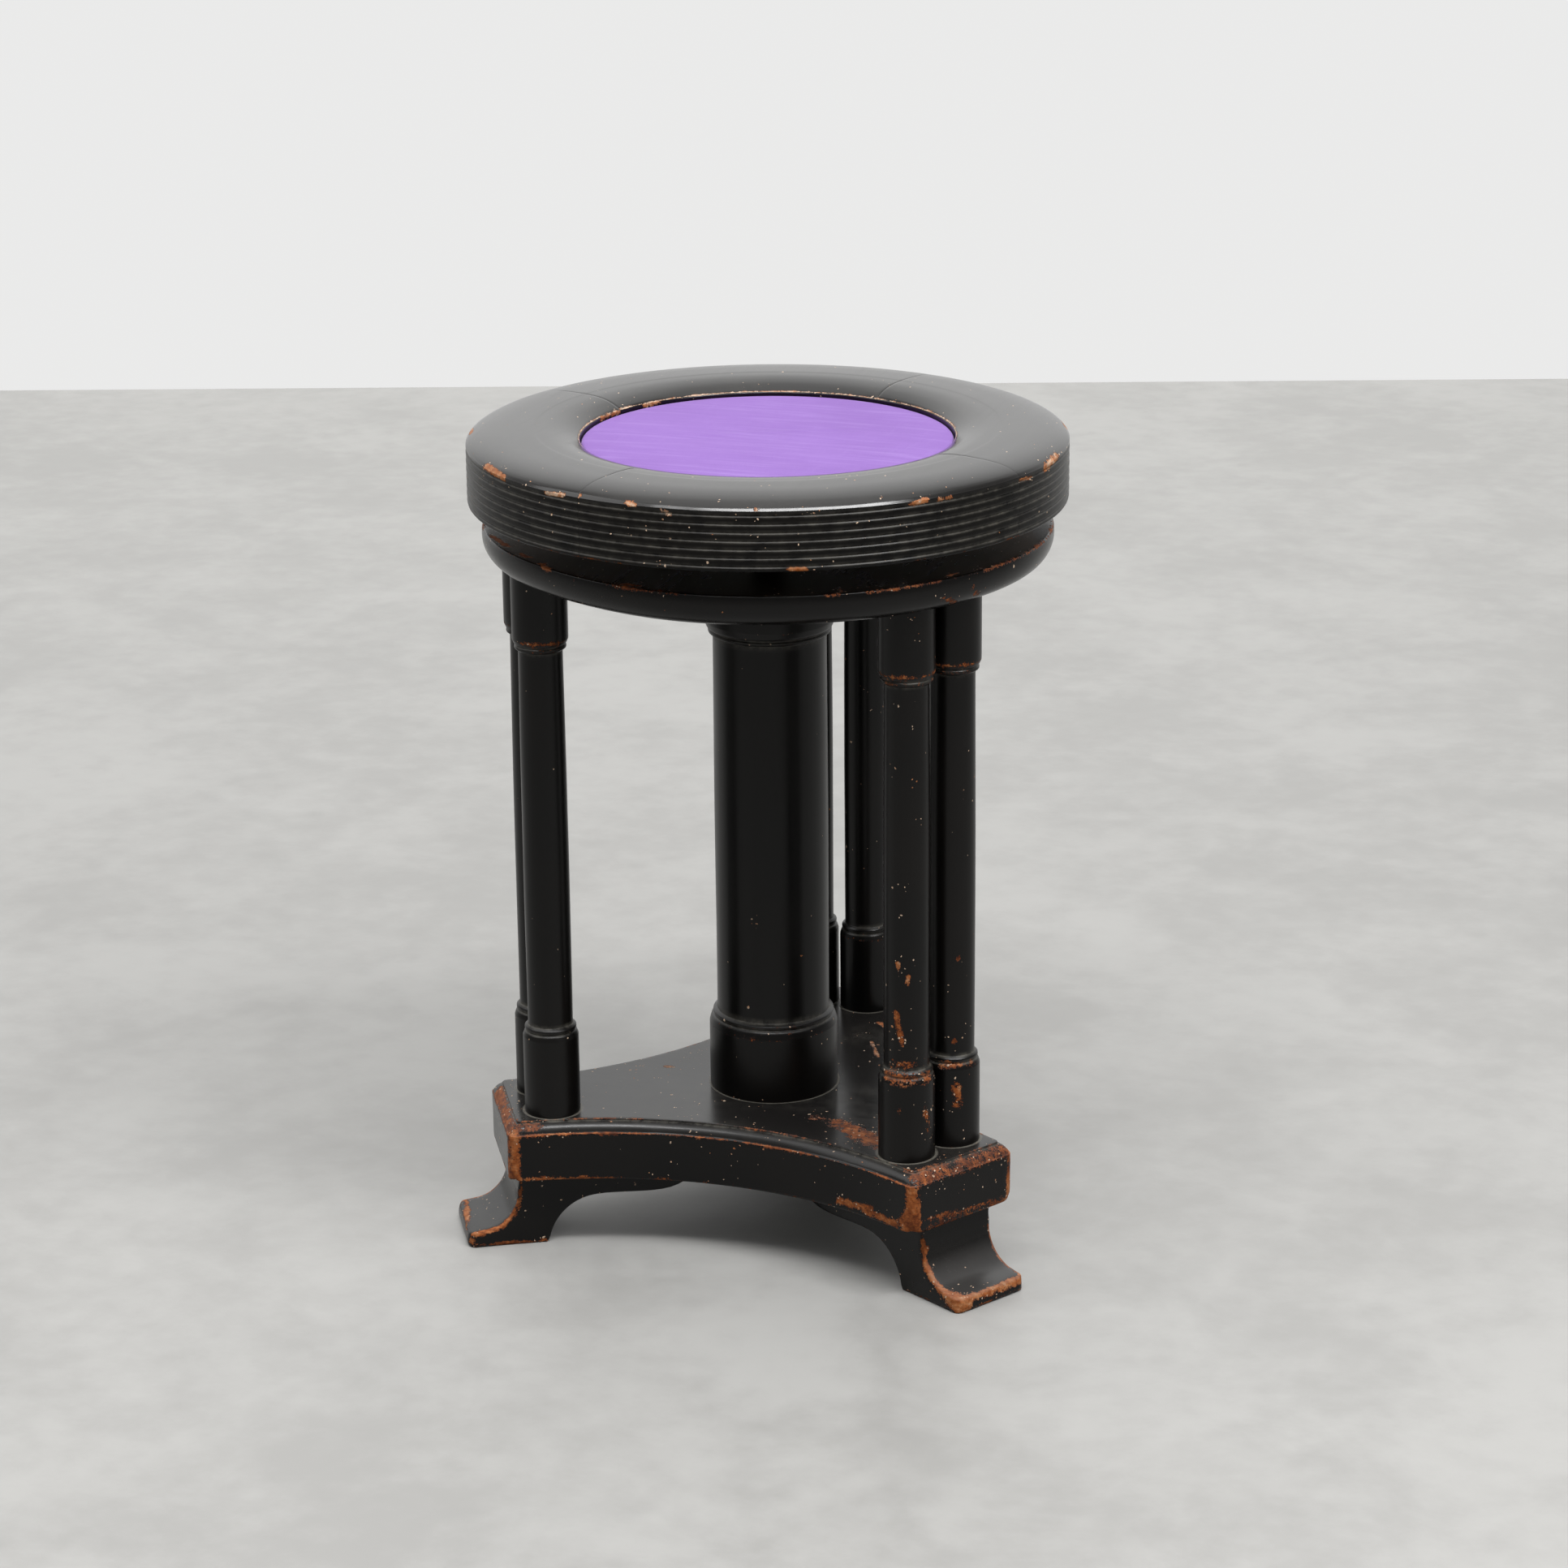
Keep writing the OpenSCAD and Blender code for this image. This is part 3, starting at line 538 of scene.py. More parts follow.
def revolve(section, marks, columns, closed, centre=(0.0, 0.0), soften=None):
    """Turns a section about a vertical axis. columns is a count for a full turn, or a list of (angle, inset)
    for part of one, whose ends are closed. An open section starts and ends on the axis."""
    sec = np.asarray(section, float)
    full = isinstance(columns, int)
    if full:
        cols = [(2 * math.pi * j / columns, 0.0) for j in range(columns)]
    else:
        cols = columns
    if not full:
        e = np.roll(sec, -1, 0) - sec
        e /= np.linalg.norm(e, axis=1)[:, None] + 1e-12
        nrm = np.stack([e[:, 1], -e[:, 0]], 1)
        nrm = nrm + np.roll(nrm, 1, 0)
        nrm /= np.linalg.norm(nrm, axis=1)[:, None] + 1e-12
        if soften is not None:
            nrm = nrm * np.asarray(soften)[:, None]
    m, lab = len(sec), np.asarray(marks, float)
    verts, labels, faces = [], [], []
    poles = not closed
    ring = sec[1:-1] if poles else sec
    rl = lab[1:-1] if poles else lab
    k = len(ring)
    for a, inset in cols:
        s = ring if inset == 0 else ring - nrm * inset
        verts.append(np.stack([centre[0] + s[:, 0] * math.cos(a), centre[1] + s[:, 0] * math.sin(a), s[:, 1]], 1))
        labels.append(rl)
    verts, labels = np.concatenate(verts), np.concatenate(labels)
    c = len(cols)
    for j in range(c if full else c - 1):
        u, v = j * k, ((j + 1) % c) * k
        for i in range(k if closed else k - 1):
            i2 = (i + 1) % k
            faces.append((u + i, v + i, v + i2, u + i2))
    flat = []
    if poles:
        verts = np.vstack([verts, [[centre[0], centre[1], sec[0, 1]], [centre[0], centre[1], sec[-1, 1]]]])
        labels = np.append(labels, [0.0, 0.0])
        b, t = len(verts) - 2, len(verts) - 1
        for j in range(c):
            u, v = j * k, ((j + 1) % c) * k
            faces.append((b, v, u))
            faces.append((t, u + k - 1, v + k - 1))
    if not full:
        flat = [len(faces), len(faces) + 1]
        faces.append(tuple(range(k)))
        faces.append(tuple((c - 1) * k + i for i in reversed(range(k))))
    return verts, labels, faces, flat


# ---------------------------------------------------------------- worn places

# Places where the finish is worn or chipped: node, two ends of the patch, its radius, how far it is worn, and its
# tone from dark red (0) to pale tan (1).
WORN = [
    ("ring_segment_2", -131.2, -122.1, 499.2, -111.8, -141.0, 497.9, 2.06, 1.0, 0.67),
    ("ring_segment_2", -76.8, -162.7, 496.7, -63.7, -168.2, 498.1, 1.35, 0.9, 0.95),
    ("ring_segment_3", -58.7, -168.2, 500.4, -53.1, -171.2, 499.1, 1.55, 1.0, 0.67),
    ("ring_segment_3", -20.6, -177.9, 499.5, -17.3, -179.0, 498.1, 1.55, 1.0, 0.77),
    ("ring_segment_3", -0.9, -180.0, 497.2, 4.3, -179.8, 494.8, 1.38, 0.8, 0.95),
    ("ring_segment_3", 52.5, -171.4, 499.2, 52.9, -171.3, 499.2, 1.35, 0.9, 0.95),
    ("ring_segment_3", 80.5, -161.0, 496.8, 89.2, -155.6, 495.2, 1.1, 0.8, 0.95),
    ("ring_segment_3", 129.5, -125.0, 496.8, 136.2, -117.5, 497.8, 1.55, 1.0, 0.62),
    ("ring_segment_3", 140.8, -112.2, 496.8, 146.6, -104.4, 496.8, 1.35, 0.8, 0.67),
    ("ring_segment_4", 168.8, -62.6, 497.2, 174.4, -41.6, 495.5, 1.35, 0.8, 0.67),
    ("ring_segment_4", 179.2, 0.3, 499.4, 178.5, -23.3, 496.7, 2.41, 0.9, 0.82),
    ("ring_segment_2", -173.8, -41.6, 500.0, -168.0, -56.6, 500.9, 1.35, 0.9, 0.67),
    ("ring_segment_1", 18.0, 146.7, 505.5, 18.0, 146.7, 505.5, 1.2, 0.8, 0.95),
    ("ring_segment_2", -92.3, -154.0, 498.7, -92.3, -154.0, 498.7, 1.2, 0.8, 0.95),
    ("ring_segment_3", -35.9, -168.4, 503.0, -35.9, -168.4, 503.0, 1.2, 0.8, 0.95),
    ("ring_segment_2", -141.9, 3.4, 505.6, -141.9, 3.4, 505.6, 1.2, 0.8, 0.95),
    ("ring_segment_3", 112.5, -134.9, 501.7, 112.5, -134.9, 501.7, 1.2, 0.8, 0.95),
    ("ring_segment_3", 125.5, -129.0, 484.8, 125.5, -129.0, 484.8, 1.2, 0.8, 0.95),
    ("ring_segment_3", -3.0, -179.9, 464.6, 2.8, -179.9, 464.6, 1.1, 0.9, 0.95),
    ("ring_segment_3", 69.9, -165.8, 464.9, 78.6, -161.8, 464.0, 1.35, 1.0, 0.62),
    ("top_disc", -145.5, -83.4, 445.4, -126.3, -103.2, 446.5, 1.9, 1, 0.5),
    ("top_disc", -112.8, -116.2, 446.5, -106.8, -122.0, 446.5, 1.9, 1, 0.5),
    ("top_disc", -93.3, -132.8, 446.5, -84.8, -143.9, 446.2, 1.9, 1, 0.5),
    ("top_disc", -66.4, -154.8, 444.2, -66.2, -155.4, 443.5, 1.9, 1, 0.45),
    ("top_disc", -32.5, -160.1, 446.5, -21.3, -162.1, 446.5, 1.4, 0.9, 0.4),
    ("top_disc", -7.1, -167.3, 445.7, -3.9, -168.0, 444.7, 1.4, 0.9, 0.5),
    ("top_disc", -31.8, -165.7, 443.7, -31.8, -165.7, 443.7, 1.2, 0.8, 0.8),
    ("top_disc", 57.4, -158.0, 444.7, 57.4, -158.0, 444.7, 1.2, 0.8, 0.8),
    ("top_disc", 87.1, -134.1, 446.5, 92.8, -139.8, 445.2, 1.4, 0.8, 0.4),
    ("top_disc", 96.9, -130.7, 446.5, 123.8, -111.6, 446.5, 1.2, 0.9, 0.2),
    ("top_disc", 139.7, -90.6, 446.4, 143.0, -82.4, 446.5, 1.4, 0.9, 0.5),
    ("top_disc", 150.9, -74.8, 444.2, 154.3, -66.6, 444.7, 1.9, 1, 0.5),
    ("top_disc", 151.6, -80.0, 437.9, 152.3, -72.6, 431.1, 1.4, 0.8, 0.4),
    ("top_disc", 140.0, -97.9, 435.0, 143.1, -87.2, 429.9, 1.4, 0.8, 0.4),
    ("column_right_front", 121.6, -102.2, 422.6, 121.6, -102.2, 422.6, 1.3, 1, 0.5),
    ("column_right_front", 125.6, -99.5, 410.1, 125.6, -99.5, 410.1, 1.3, 0.9, 0.6),
    ("column_right_front", 111.1, -100.1, 367.1, 111.1, -100.1, 367.1, 1.2, 0.8, 0.8),
    ("column_right_front", 109.5, -99.8, 333.3, 109.5, -99.8, 333.3, 1.2, 0.8, 0.8),
    ("column_right_front", 122.7, -97.8, 322.6, 122.7, -97.8, 322.6, 1.2, 0.8, 0.8),
    ("column_right_front", 124.6, -96.0, 299.4, 124.6, -96.0, 299.4, 1.2, 0.8, 0.6),
    ("column_right_front", 111.7, -100.7, 259.0, 111.7, -100.7, 259.0, 1.2, 0.8, 0.7),
    ("column_right_front", 116.2, -100.7, 258.5, 116.2, -100.7, 258.5, 1.2, 0.8, 0.7),
    ("column_right_front", 114.3, -100.9, 240.2, 114.3, -100.9, 240.2, 1.2, 0.8, 0.7),
    ("column_right_front", 113.2, -100.8, 211.1, 113.2, -100.8, 206.6, 1.35, 0.8, 0.8),
    ("column_right_front", 119.0, -100.0, 202.8, 119.0, -100.0, 198.3, 1.35, 0.8, 0.8),
    ("column_right_front", 122.8, -97.9, 214.2, 122.8, -97.9, 214.2, 1.3, 0.9, 0.7),
    ("column_right_front", 112.2, -100.7, 179.3, 115.2, -100.8, 160.1, 1.9, 0.75, 0.4),
    ("column_right_front", 105.7, -99.7, 138.9, 118.5, -101.8, 139.2, 3.1, 0.72, 0.40),
    ("column_right_front", 118.5, -101.8, 139.2, 129.4, -91.4, 138.1, 3.1, 0.72, 0.40),
    ("column_right_front", 128.1, -96.9, 115.1, 128.1, -96.9, 114.6, 1, 0.9, 0.95),
    ("column_right_back", 139.9, -67.0, 205.2, 139.9, -67.0, 204.1, 1.4, 0.9, 0.2),
    ("column_right_back", 137.9, -68.0, 153.1, 137.9, -68.0, 152.0, 1.5, 0.9, 0.2),
    ("column_right_back", 141.2, -70.1, 121.9, 141.2, -70.1, 120.3, 1.9, 1, 0.5),
    ("column_back_right", 19.0, 129.9, 305.0, 19.0, 129.9, 304.4, 1.2, 0.8, 0.8),
    ("central_column", -4.3, -34.3, 362.9, -4.3, -34.3, 362.9, 1.2, 0.8, 0.8),
    ("central_column", -0.3, -34.8, 204.7, -0.4, -34.8, 196.8, 0.9, 0.8, 0.6),
    ("plinth", 32.9, 112.2, 85.0, 39.6, 106.8, 85.0, 2.1, 0.84, 0.60),
    ("plinth", 38.5, 79.5, 85.0, 49.7, 56.6, 85.0, 1.4, 0.66, 0.80),
    ("plinth", -71.8, -1.0, 85.0, -67.4, -1.0, 85.0, 2.0, 0.84, 0.85),
    ("plinth", 67.8, -66.2, 85.0, 93.7, -79.1, 85.0, 2.5, 0.84, 0.32),
    ("plinth", 24.0, -82.8, 85.0, 64.1, -93.9, 85.0, 1.7, 0.93, 0.32),
    ("plinth", 64.1, -93.9, 85.0, 124.9, -113.3, 85.0, 1.7, 0.93, 0.32),
    ("plinth", -90.8, -12.8, 85.0, -90.8, -12.8, 85.0, 1.2, 0.8, 0.9),
    ("plinth", -82.6, -25.9, 85.0, -82.6, -25.9, 85.0, 1.2, 0.8, 0.9),
    ("plinth", -69.9, -20.4, 85.0, -69.9, -20.4, 85.0, 1.2, 0.8, 0.9),
    ("plinth", -86.4, -4.2, 85.0, -86.4, -4.2, 85.0, 1.2, 0.8, 0.9),
    ("plinth", -65.8, 16.9, 85.0, -65.8, 16.9, 85.0, 1.2, 0.8, 0.9),
    ("plinth", -61.7, 26.9, 85.0, -61.7, 26.9, 85.0, 1.2, 0.8, 0.9),
    ("plinth", -100.4, -69.5, 85.0, -100.4, -69.5, 85.0, 1.2, 0.8, 0.9),
    ("plinth", -59.9, -81.3, 85.0, -59.9, -81.3, 85.0, 1.2, 0.8, 0.9),
    ("plinth", -33.3, -72.8, 85.0, -33.3, -72.8, 85.0, 1.2, 0.8, 0.9),
    ("plinth", -26.7, -70.7, 85.0, -26.7, -70.7, 85.0, 1.2, 0.8, 0.9),
    ("plinth", -38.7, -59.5, 85.0, -38.7, -59.5, 85.0, 1.2, 0.8, 0.9),
    ("plinth", 13.6, -72.7, 85.0, 15.9, -74.7, 85.0, 1.2, 0.8, 0.9),
    ("plinth", 126.4, -121.2, 77.5, 128.9, -122.7, 48.0, 2.9, 1, 0.46),
    ("plinth", 125.2, -120.4, 53.9, 126.4, -121.2, 49.2, 6.3, 0.95, 0.35),
    ("plinth", 129.5, -116.5, 82.4, 146.0, -90.1, 81.6, 5.2, 0.67, 0.24),
    ("plinth", 146.0, -90.1, 81.6, 164.6, -58.3, 81.4, 5.2, 0.67, 0.24),
    ("plinth", 75.0, -97.8, 52.5, 97.2, -106.1, 53.6, 2.4, 0.9, 0.4),
    ("plinth", 91.3, -103.7, 51.8, 115.9, -115.2, 50.5, 2.4, 0.9, 0.4),
    ("plinth", 132.7, -117.1, 54.6, 151.0, -85.5, 52.2, 1.9, 0.62, 0.4),
    ("plinth", 151.0, -85.5, 52.2, 170.2, -52.2, 49.4, 1.9, 0.62, 0.4),
    ("plinth", 167.5, -56.1, 84.7, 170.4, -51.8, 77.0, 3.4, 0.9, 0.4),
    ("plinth", -160.6, -64.0, 81.0, -130.2, -118.6, 80.9, 4.6, 0.79, 0.33),
    ("plinth", -130.2, -118.6, 81.4, -116.0, -111.0, 82.0, 3.4, 0.67, 0.33),
    ("plinth", -127.1, -121.1, 78.3, -125.0, -120.4, 49.4, 2.9, 1, 0.48),
    ("plinth", -124.2, -119.9, 49.7, -97.6, -106.3, 47.1, 1.4, 0.8, 0.6),
    ("plinth", -97.6, -106.3, 47.1, -70.4, -96.4, 47.1, 1.4, 0.8, 0.4),
    ("foot_right", 132.1, -105.4, 33.2, 153.0, -118.8, 10.1, 1.9, 1, 0.5),
    ("foot_right", 157.0, -121.9, 8.9, 171.6, -99.5, 7.9, 2.8, 1, 0.58),
    ("foot_right", 171.6, -99.5, 7.9, 184.5, -77.5, 7.5, 2.8, 1, 0.58),
    ("foot_right", 151.0, -118.8, 10.4, 161.0, -118.2, 4.1, 5.3, 1, 0.6),
    ("foot_left", -179.3, -76.9, 9.8, -156.8, -122.9, 3.6, 1.5, 0.9, 0.45),
    ("foot_left", -156.9, -122.9, 2.0, -114.8, -98.6, 1.2, 1.35, 0.62, 0.3),
    ("foot_left", -174.6, -88.0, 9.6, -155.9, -122.4, 4.6, 2.0, 1, 0.6),
    ("ring_segment_2", -107.3, 33.0, 497.6, -111.4, 13.0, 497.6, 1.38, 1.0, 0.67),
    ("ring_segment_1", -98.9, 52.8, 497.6, -92.4, 63.2, 497.6, 1.35, 0.9, 0.67),
    ("plinth", 44.0, -51.0, 85.0, 64.6, -57.4, 85.0, 4.5, 0.47, 0.37),
    ("plinth", 60.6, -56.4, 85.0, 94.7, -77.5, 85.0, 6.5, 0.67, 0.37),
    ("plinth", 78.0, -72.0, 85.0, 102.0, -84.0, 85.0, 7.0, 0.63, 0.37),
    ("column_right_back", 131.5, -72.5, 138.1, 148.5, -61.6, 137.1, 2.6, 0.60, 0.55),
    ("column_right_back", 140.1, -70.7, 124.9, 141.0, -70.3, 113.3, 3.2, 0.52, 0.60),
    ("column_right_back", 138.7, -71.4, 153.6, 139.5, -71.2, 149.6, 2.6, 0.52, 0.60),
    ("column_right_front", 128.7, -96.3, 118.8, 130.0, -93.8, 104.5, 2.4, 0.50, 0.65),
    ("column_right_front", 115.0, -104.2, 119.1, 115.4, -104.2, 117.1, 1.8, 0.55, 0.80),
    ("column_right_front", 110.1, -101.1, 146.0, 126.9, -99.9, 147.3, 3.6, 0.46, 0.45),
    # The sides that the photograph doesn't show are worn in the same way.
    ("ring_segment_4", 166.0, 66.0, 499.3, 160.0, 79.0, 498.6, 1.55, 1.0, 0.67),
    ("ring_segment_1", 40.0, 174.8, 499.0, 28.0, 177.2, 499.0, 1.38, 0.9, 0.77),
    ("ring_segment_1", -44.0, 173.8, 498.6, -52.0, 171.6, 499.0, 1.72, 1.0, 0.62),
    ("ring_segment_1", -120.0, 133.0, 498.8, -124.0, 129.8, 498.6, 1.38, 0.9, 0.87),
    ("ring_segment_2", -170.0, 58.0, 499.0, -172.0, 50.0, 498.8, 1.55, 1.0, 0.67),
    ("top_disc", 160.0, 50.0, 445.6, 154.0, 66.0, 445.6, 1.8, 1, 0.5),
    ("top_disc", 60.0, 157.0, 445.4, 44.0, 162.4, 445.2, 1.8, 1, 0.5),
    ("top_disc", -70.0, 152.6, 445.6, -84.0, 145.6, 445.0, 1.6, 1, 0.45),
    ("top_disc", -160.0, 50.0, 445.5, -164.0, 36.0, 445.0, 1.6, 1, 0.5),
    ("plinth", 40.0, 168.0, 50.0, 30.0, 173.0, 49.0, 4.0, 0.95, 0.4),
    ("plinth", -41.0, 172.6, 77.0, -41.2, 172.8, 52.0, 2.4, 1, 0.5),
    ("plinth", 41.0, 172.4, 77.0, 41.2, 172.6, 60.0, 2.0, 0.9, 0.4),
    ("plinth", -20.0, 173.0, 78.0, 20.0, 173.0, 78.5, 2.2, 0.85, 0.35),
    ("foot_back", -28.0, 186.0, 9.0, 28.0, 187.0, 9.0, 1.9, 1, 0.55),
    ("foot_back", 28.0, 170.0, 34.0, 28.0, 184.0, 12.0, 1.9, 1, 0.5),
    ("foot_back", -27.0, 192.0, 8.0, -25.0, 196.0, 4.0, 5.0, 1, 0.55),
]


def along_foot(node, direction, side, path, r, s, t):
    """Worn places along a foot's side edge, whose (distance, height) points follow its front."""
    c, k = math.cos(math.radians(direction)), math.sin(math.radians(direction))
    y = side * (FOOT_W / 2 - 0.8)
    put = [(x * c - y * k, x * k + y * c, z) for x, z in path]
    for a, b in zip(put, put[1:]):
        WORN.append((node, *a, *b, r, s, t))


SWEEP = [(166.6, 37.0), (167.4, 31.0), (170.0, 22.2), (175.0, 15.6), (181.0, 12.2), (189.0, 10.6), (196.0, 9.2)]
for foot_node, foot_way in (("foot_back", 90), ("foot_left", 210), ("foot_right", 330)):
    near_side = 1 if foot_node == "foot_left" else -1
    wide = 0.68 if foot_node == "foot_left" else 1.0
    along_foot(foot_node, foot_way, near_side, SWEEP[:3], 1.7 * wide, 0.85, 0.40)
    along_foot(foot_node, foot_way, near_side, SWEEP[2:5], 2.3 * wide, 1.0, 0.48)
    along_foot(foot_node, foot_way, near_side, SWEEP[4:], 3.0 * wide, 1.0, 0.52)
    along_foot(foot_node, foot_way, -near_side, SWEEP[1:], 1.6, 0.85, 0.45)

# The black fields of the plinth's faces have rounded corners, because their corners are worn from two sides.
for turn_angle in (90, 210, 330):
    for half in (-1, 1):
        for level, big in ((50.0, 1.0), (76.0, 0.85)):
            c, k = math.cos(math.radians(turn_angle)), math.sin(math.radians(turn_angle))
            x, y = CORNER_R - 1.5, half * (CORNER_W / 2 - 1.5)
            WORN.append(("plinth", x * c - y * k, x * k + y * c, level, x * c - y * k, x * k + y * c, level, 3.9 * big, 0.9, 0.42))
# A place no wider than this is drawn as a few specks.
LEAST_SPOT = 1.3


def attributes(ob, labels, node, width=1.8, low=0.18, high=0.85, rub_scale=1 / 42.0, seed=0, wobble=0.0, chip=0.22,
               speck=0.025, dust=0.10, tone=0.42, painted_light=0.0, dull=None):
    """Writes the mesh's wear, tone, speck and dust, and a painted light lift of faces that look up, and moves worn
    corners and faces off the machine-true shape.
    """
    me = ob.data
    n = len(me.vertices)
    co = np.zeros(n * 3, np.float32)
    me.vertices.foreach_get("co", co)
    co = co.reshape(-1, 3).astype(float) / MM
    nr = np.zeros(n * 3, np.float32)
    me.vertices.foreach_get("normal", nr)
    nr = nr.reshape(-1, 3).astype(float)

    def near(mask, reach):
        ids = np.nonzero(mask)[0]
        dist, which = np.full(n, 1e6), np.zeros(n, int)
        if len(ids):
            tree = kdtree.KDTree(len(ids))
            for k, i in enumerate(ids):
                tree.insert(co[i], k)
            tree.balance()
            for i in range(n):
                _, k, d = tree.find(co[i])
                dist[i], which[i] = d, ids[k]
        return dist, which

    # A mark over ten is a narrow edge that is worn nearly all along, and twelve is one that is bare and pale.
    d, w = near(labels > 0, width)
    strength = np.where(d < 1e5, labels[w], 0.0)
    thin = strength > 5
    pale = strength > 11.5
    strength = np.where(thin, strength - 10, strength) - pale
    rub = smooth(layered(co, rub_scale, 11 + seed, 3), 0.40, 0.66)
    rub = np.where(pale, 0.75 + 0.25 * rub, rub)
    edge = np.clip(1 - d / np.where(thin, 0.42 * width, width), 0, 1)
    wear = strength * edge ** 0.7 * (np.where(thin, 0.5, low) + (high - np.where(thin, 0.5, low)) * rub)
    hollow, _ = near(labels < 0, 2.0)
    gather = np.clip(1 - hollow / 1.6, 0, 1) * 0.55
    up = np.clip(nr[:, 2], 0, 1)
    dusty = np.maximum(gather, dust * up * smooth(layered(co, 1 / 30.0, 23 + seed, 3), 0.3, 0.7))
    shade = np.full(n, tone) + (layered(co, 1 / 25.0, 31 + seed, 2) - 0.5) * 0.5
    shade = np.where(pale & (edge > 0), 0.95, shade)
    specks = speck * (0.4 + 1.6 * smooth(layered(co, 1 / 33.0, 41 + seed, 2), 0.35, 0.7)) + 0.06 * edge * strength
    for name, x0, y0, z0, x1, y1, z1, r, s, t in WORN:
        if name != node:
            continue
        a, b = np.array([x0, y0, z0]), np.array([x1, y1, z1])
        ab = b - a
        q = np.clip(((co - a) @ ab) / max(1e-9, ab @ ab), 0, 1)[:, None]
        away = np.linalg.norm(co - (a + ab * q), axis=1)
        if r <= LEAST_SPOT:
            specks = np.maximum(specks, 0.75 * (1 - smooth(away, 1.5, 4.0)))
            continue
        here = s * 0.95 * (1 - smooth(away, 0.45 * r, 1.85 * r))
        shade = np.where(here > 0.15, shade * (1 - here) + t * here, shade)
        wear = np.maximum(wear, here)
        specks = np.maximum(specks, 0.22 * (1 - smooth(away, r, 4.5 * r)))
    move = np.zeros(n)
    if wobble:
        move += (layered(co, 1 / 55.0, 51 + seed, 2) - 0.5) * 2 * wobble
    rough = layered(co, 1 / 4.0, 61 + seed, 2)
    move -= chip * np.clip(wear, 0, 1) * edge * (0.35 + 1.1 * rough)
    matt = dull(co) if dull is not None else np.zeros(n)
    # Painted light: a lift of the colour on faces that look up, as if more light fell on them.
    painted_light_veil = painted_light * smooth(nr[:, 2], 0.1, 0.8)
    co = co + nr * move[:, None]
    me.vertices.foreach_set("co", (co * MM).astype(np.float32).ravel())
    for key, value in (("wear", wear), ("tone", shade), ("speck", specks), ("dust", dusty), ("painted_light", painted_light_veil), ("dull", matt)):
        layer = me.attributes.new(key, "FLOAT", "POINT")
        layer.data.foreach_set("value", np.clip(value, 0, 1.2).astype(np.float32))
    me.update()
    return ob


def piece(name, verts, faces, body, node, material, flat=()):
    me = bpy.data.meshes.new(name)
    me.from_pydata((np.asarray(verts, float) * MM).tolist(), [], faces)
    shade = np.ones(len(faces), bool)
    for i in flat:
        shade[i] = False
    me.polygons.foreach_set("use_smooth", shade)
    me.update()
    ob = bpy.data.objects.new(name, me)
    scene.collection.objects.link(ob)
    me.materials.append(material)
    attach(ob, body)
    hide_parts(node)
    return ob


# ---------------------------------------------------------------- columns

def thin_column(node, seed):
    x, y = POSTS[node]
    h, b = DISC_Z0, PLINTH_TOP
    s, k = TR - 0.15, TK
    foot = [(0, b - 12), (8, b - 12), (8, b, 0.1), (k, b, 0.15, 0.35), (k, b + 49.8, 1.1, 0.9), (k - 1.0, b + 52.6, 1.6, 0.5),
            (k - 1.9, b + 53.3, 0.25, -1), (k - 1.9, b + 54.0, 0.25, -1), (k - 1.25, b + 54.5, 0.6, 0.5),
            (k - 1.3, b + 56.1, 1.0, 0.5), (k - 2.6, b + 57.2, 0.5), (s + 0.05, b + 57.7, 0.4, -1)]
    body = spline([(s, b + 60), (s + 0.07, b + 90), (TR, b + 140), (TR - 0.02, b + 180), (TR - 0.2, b + 235),
                   (TR - 0.45, b + 275), (TR - 0.55, h - 48.5)], 3)
    s, k = TR - 0.55, TK - 0.2
    head = [(s + 0.05, h - 46.8, 0.4, -1), (k - 2.6, h - 46.3, 0.5), (k - 1.3, h - 45.3, 1.0, 0.5), (k - 1.3, h - 43.8, 0.6, 0.5),
            (k - 1.8, h - 43.3, 0.25, -1), (k - 1.75, h - 42.8, 0.25, -1), (k - 1.0, h - 42.2, 1.4, 0.5), (k, h - 39.8, 1.1, 0.9),
            (k, h, 0.15, 0.2), (8, h, 0.1), (8, h + 12), (0, h + 12)]
    sec, marks = rounded(foot + [tuple(p) for p in body] + head, step=3.0)
    verts, lab, faces, flat = revolve(sec, marks, 72, False, (x, y))
    ob = piece(node + "_turning", verts, faces, "base", node, BLACK_TURNED[seed % 3], flat)
    attributes(ob, lab, node, width=1.5, low=0.12, high=0.70, seed=seed * 7, wobble=0.10, speck=0.012, dust=0.05)


def central_column():
    h, b = DISC_Z0, PLINTH_TOP
    half = [(CK, 0, 0.15, 0.3), (CK, 41.0, 1.2, 0.6), (CK - 1.3, 45.2, 3.0, 0.5), (CK - 2.75, 46.2, 0.3, -1),
            (CK - 2.75, 46.9, 0.3, -1), (CK - 2.2, 47.5, 0.6, 0.5), (CK - 2.4, 48.8, 0.9, 0.5), (CK - 4.0, 49.8, 0.6),
            (CR + 0.1, 50.3, 0.5, -1)]
    low = [(p[0], b + p[1], *p[2:]) for p in half]
    high = [(p[0] - (0.15 if p[0] < CK - 3.5 else 0.0), h - p[1], *p[2:]) for p in reversed(half)]
    shaft = [(q[0], q[1]) for q in spline([(CR - 0.05, b + 54), (CR - 0.05, b + 80), (CR + 0.1, b + 130), (CR + 0.15, b + 171),
                                           (CR + 0.05, b + 215), (CR - 0.12, b + 262), (CR - 0.2, h - 54)], 3)]
    sec, marks = rounded([(16, FOOT_H), (28, FOOT_H), (28, b, 0.1)] + low + shaft + high
                         + [(28, h, 0.1), (28, h + 8), (20.1, h + 8), (20.1, 399), (16, 399)], closed=True, step=3.4)
    verts, lab, faces, flat = revolve(sec, marks, 144, True)
    ob = piece("central_column_turning", verts, faces, "base", "central_column", BLACK_TURNED[0], flat)
    attributes(ob, lab, "central_column", width=1.6, low=0.10, high=0.50, seed=3, wobble=0.12, speck=0.004, dust=0.05)


# ---------------------------------------------------------------- lower disc

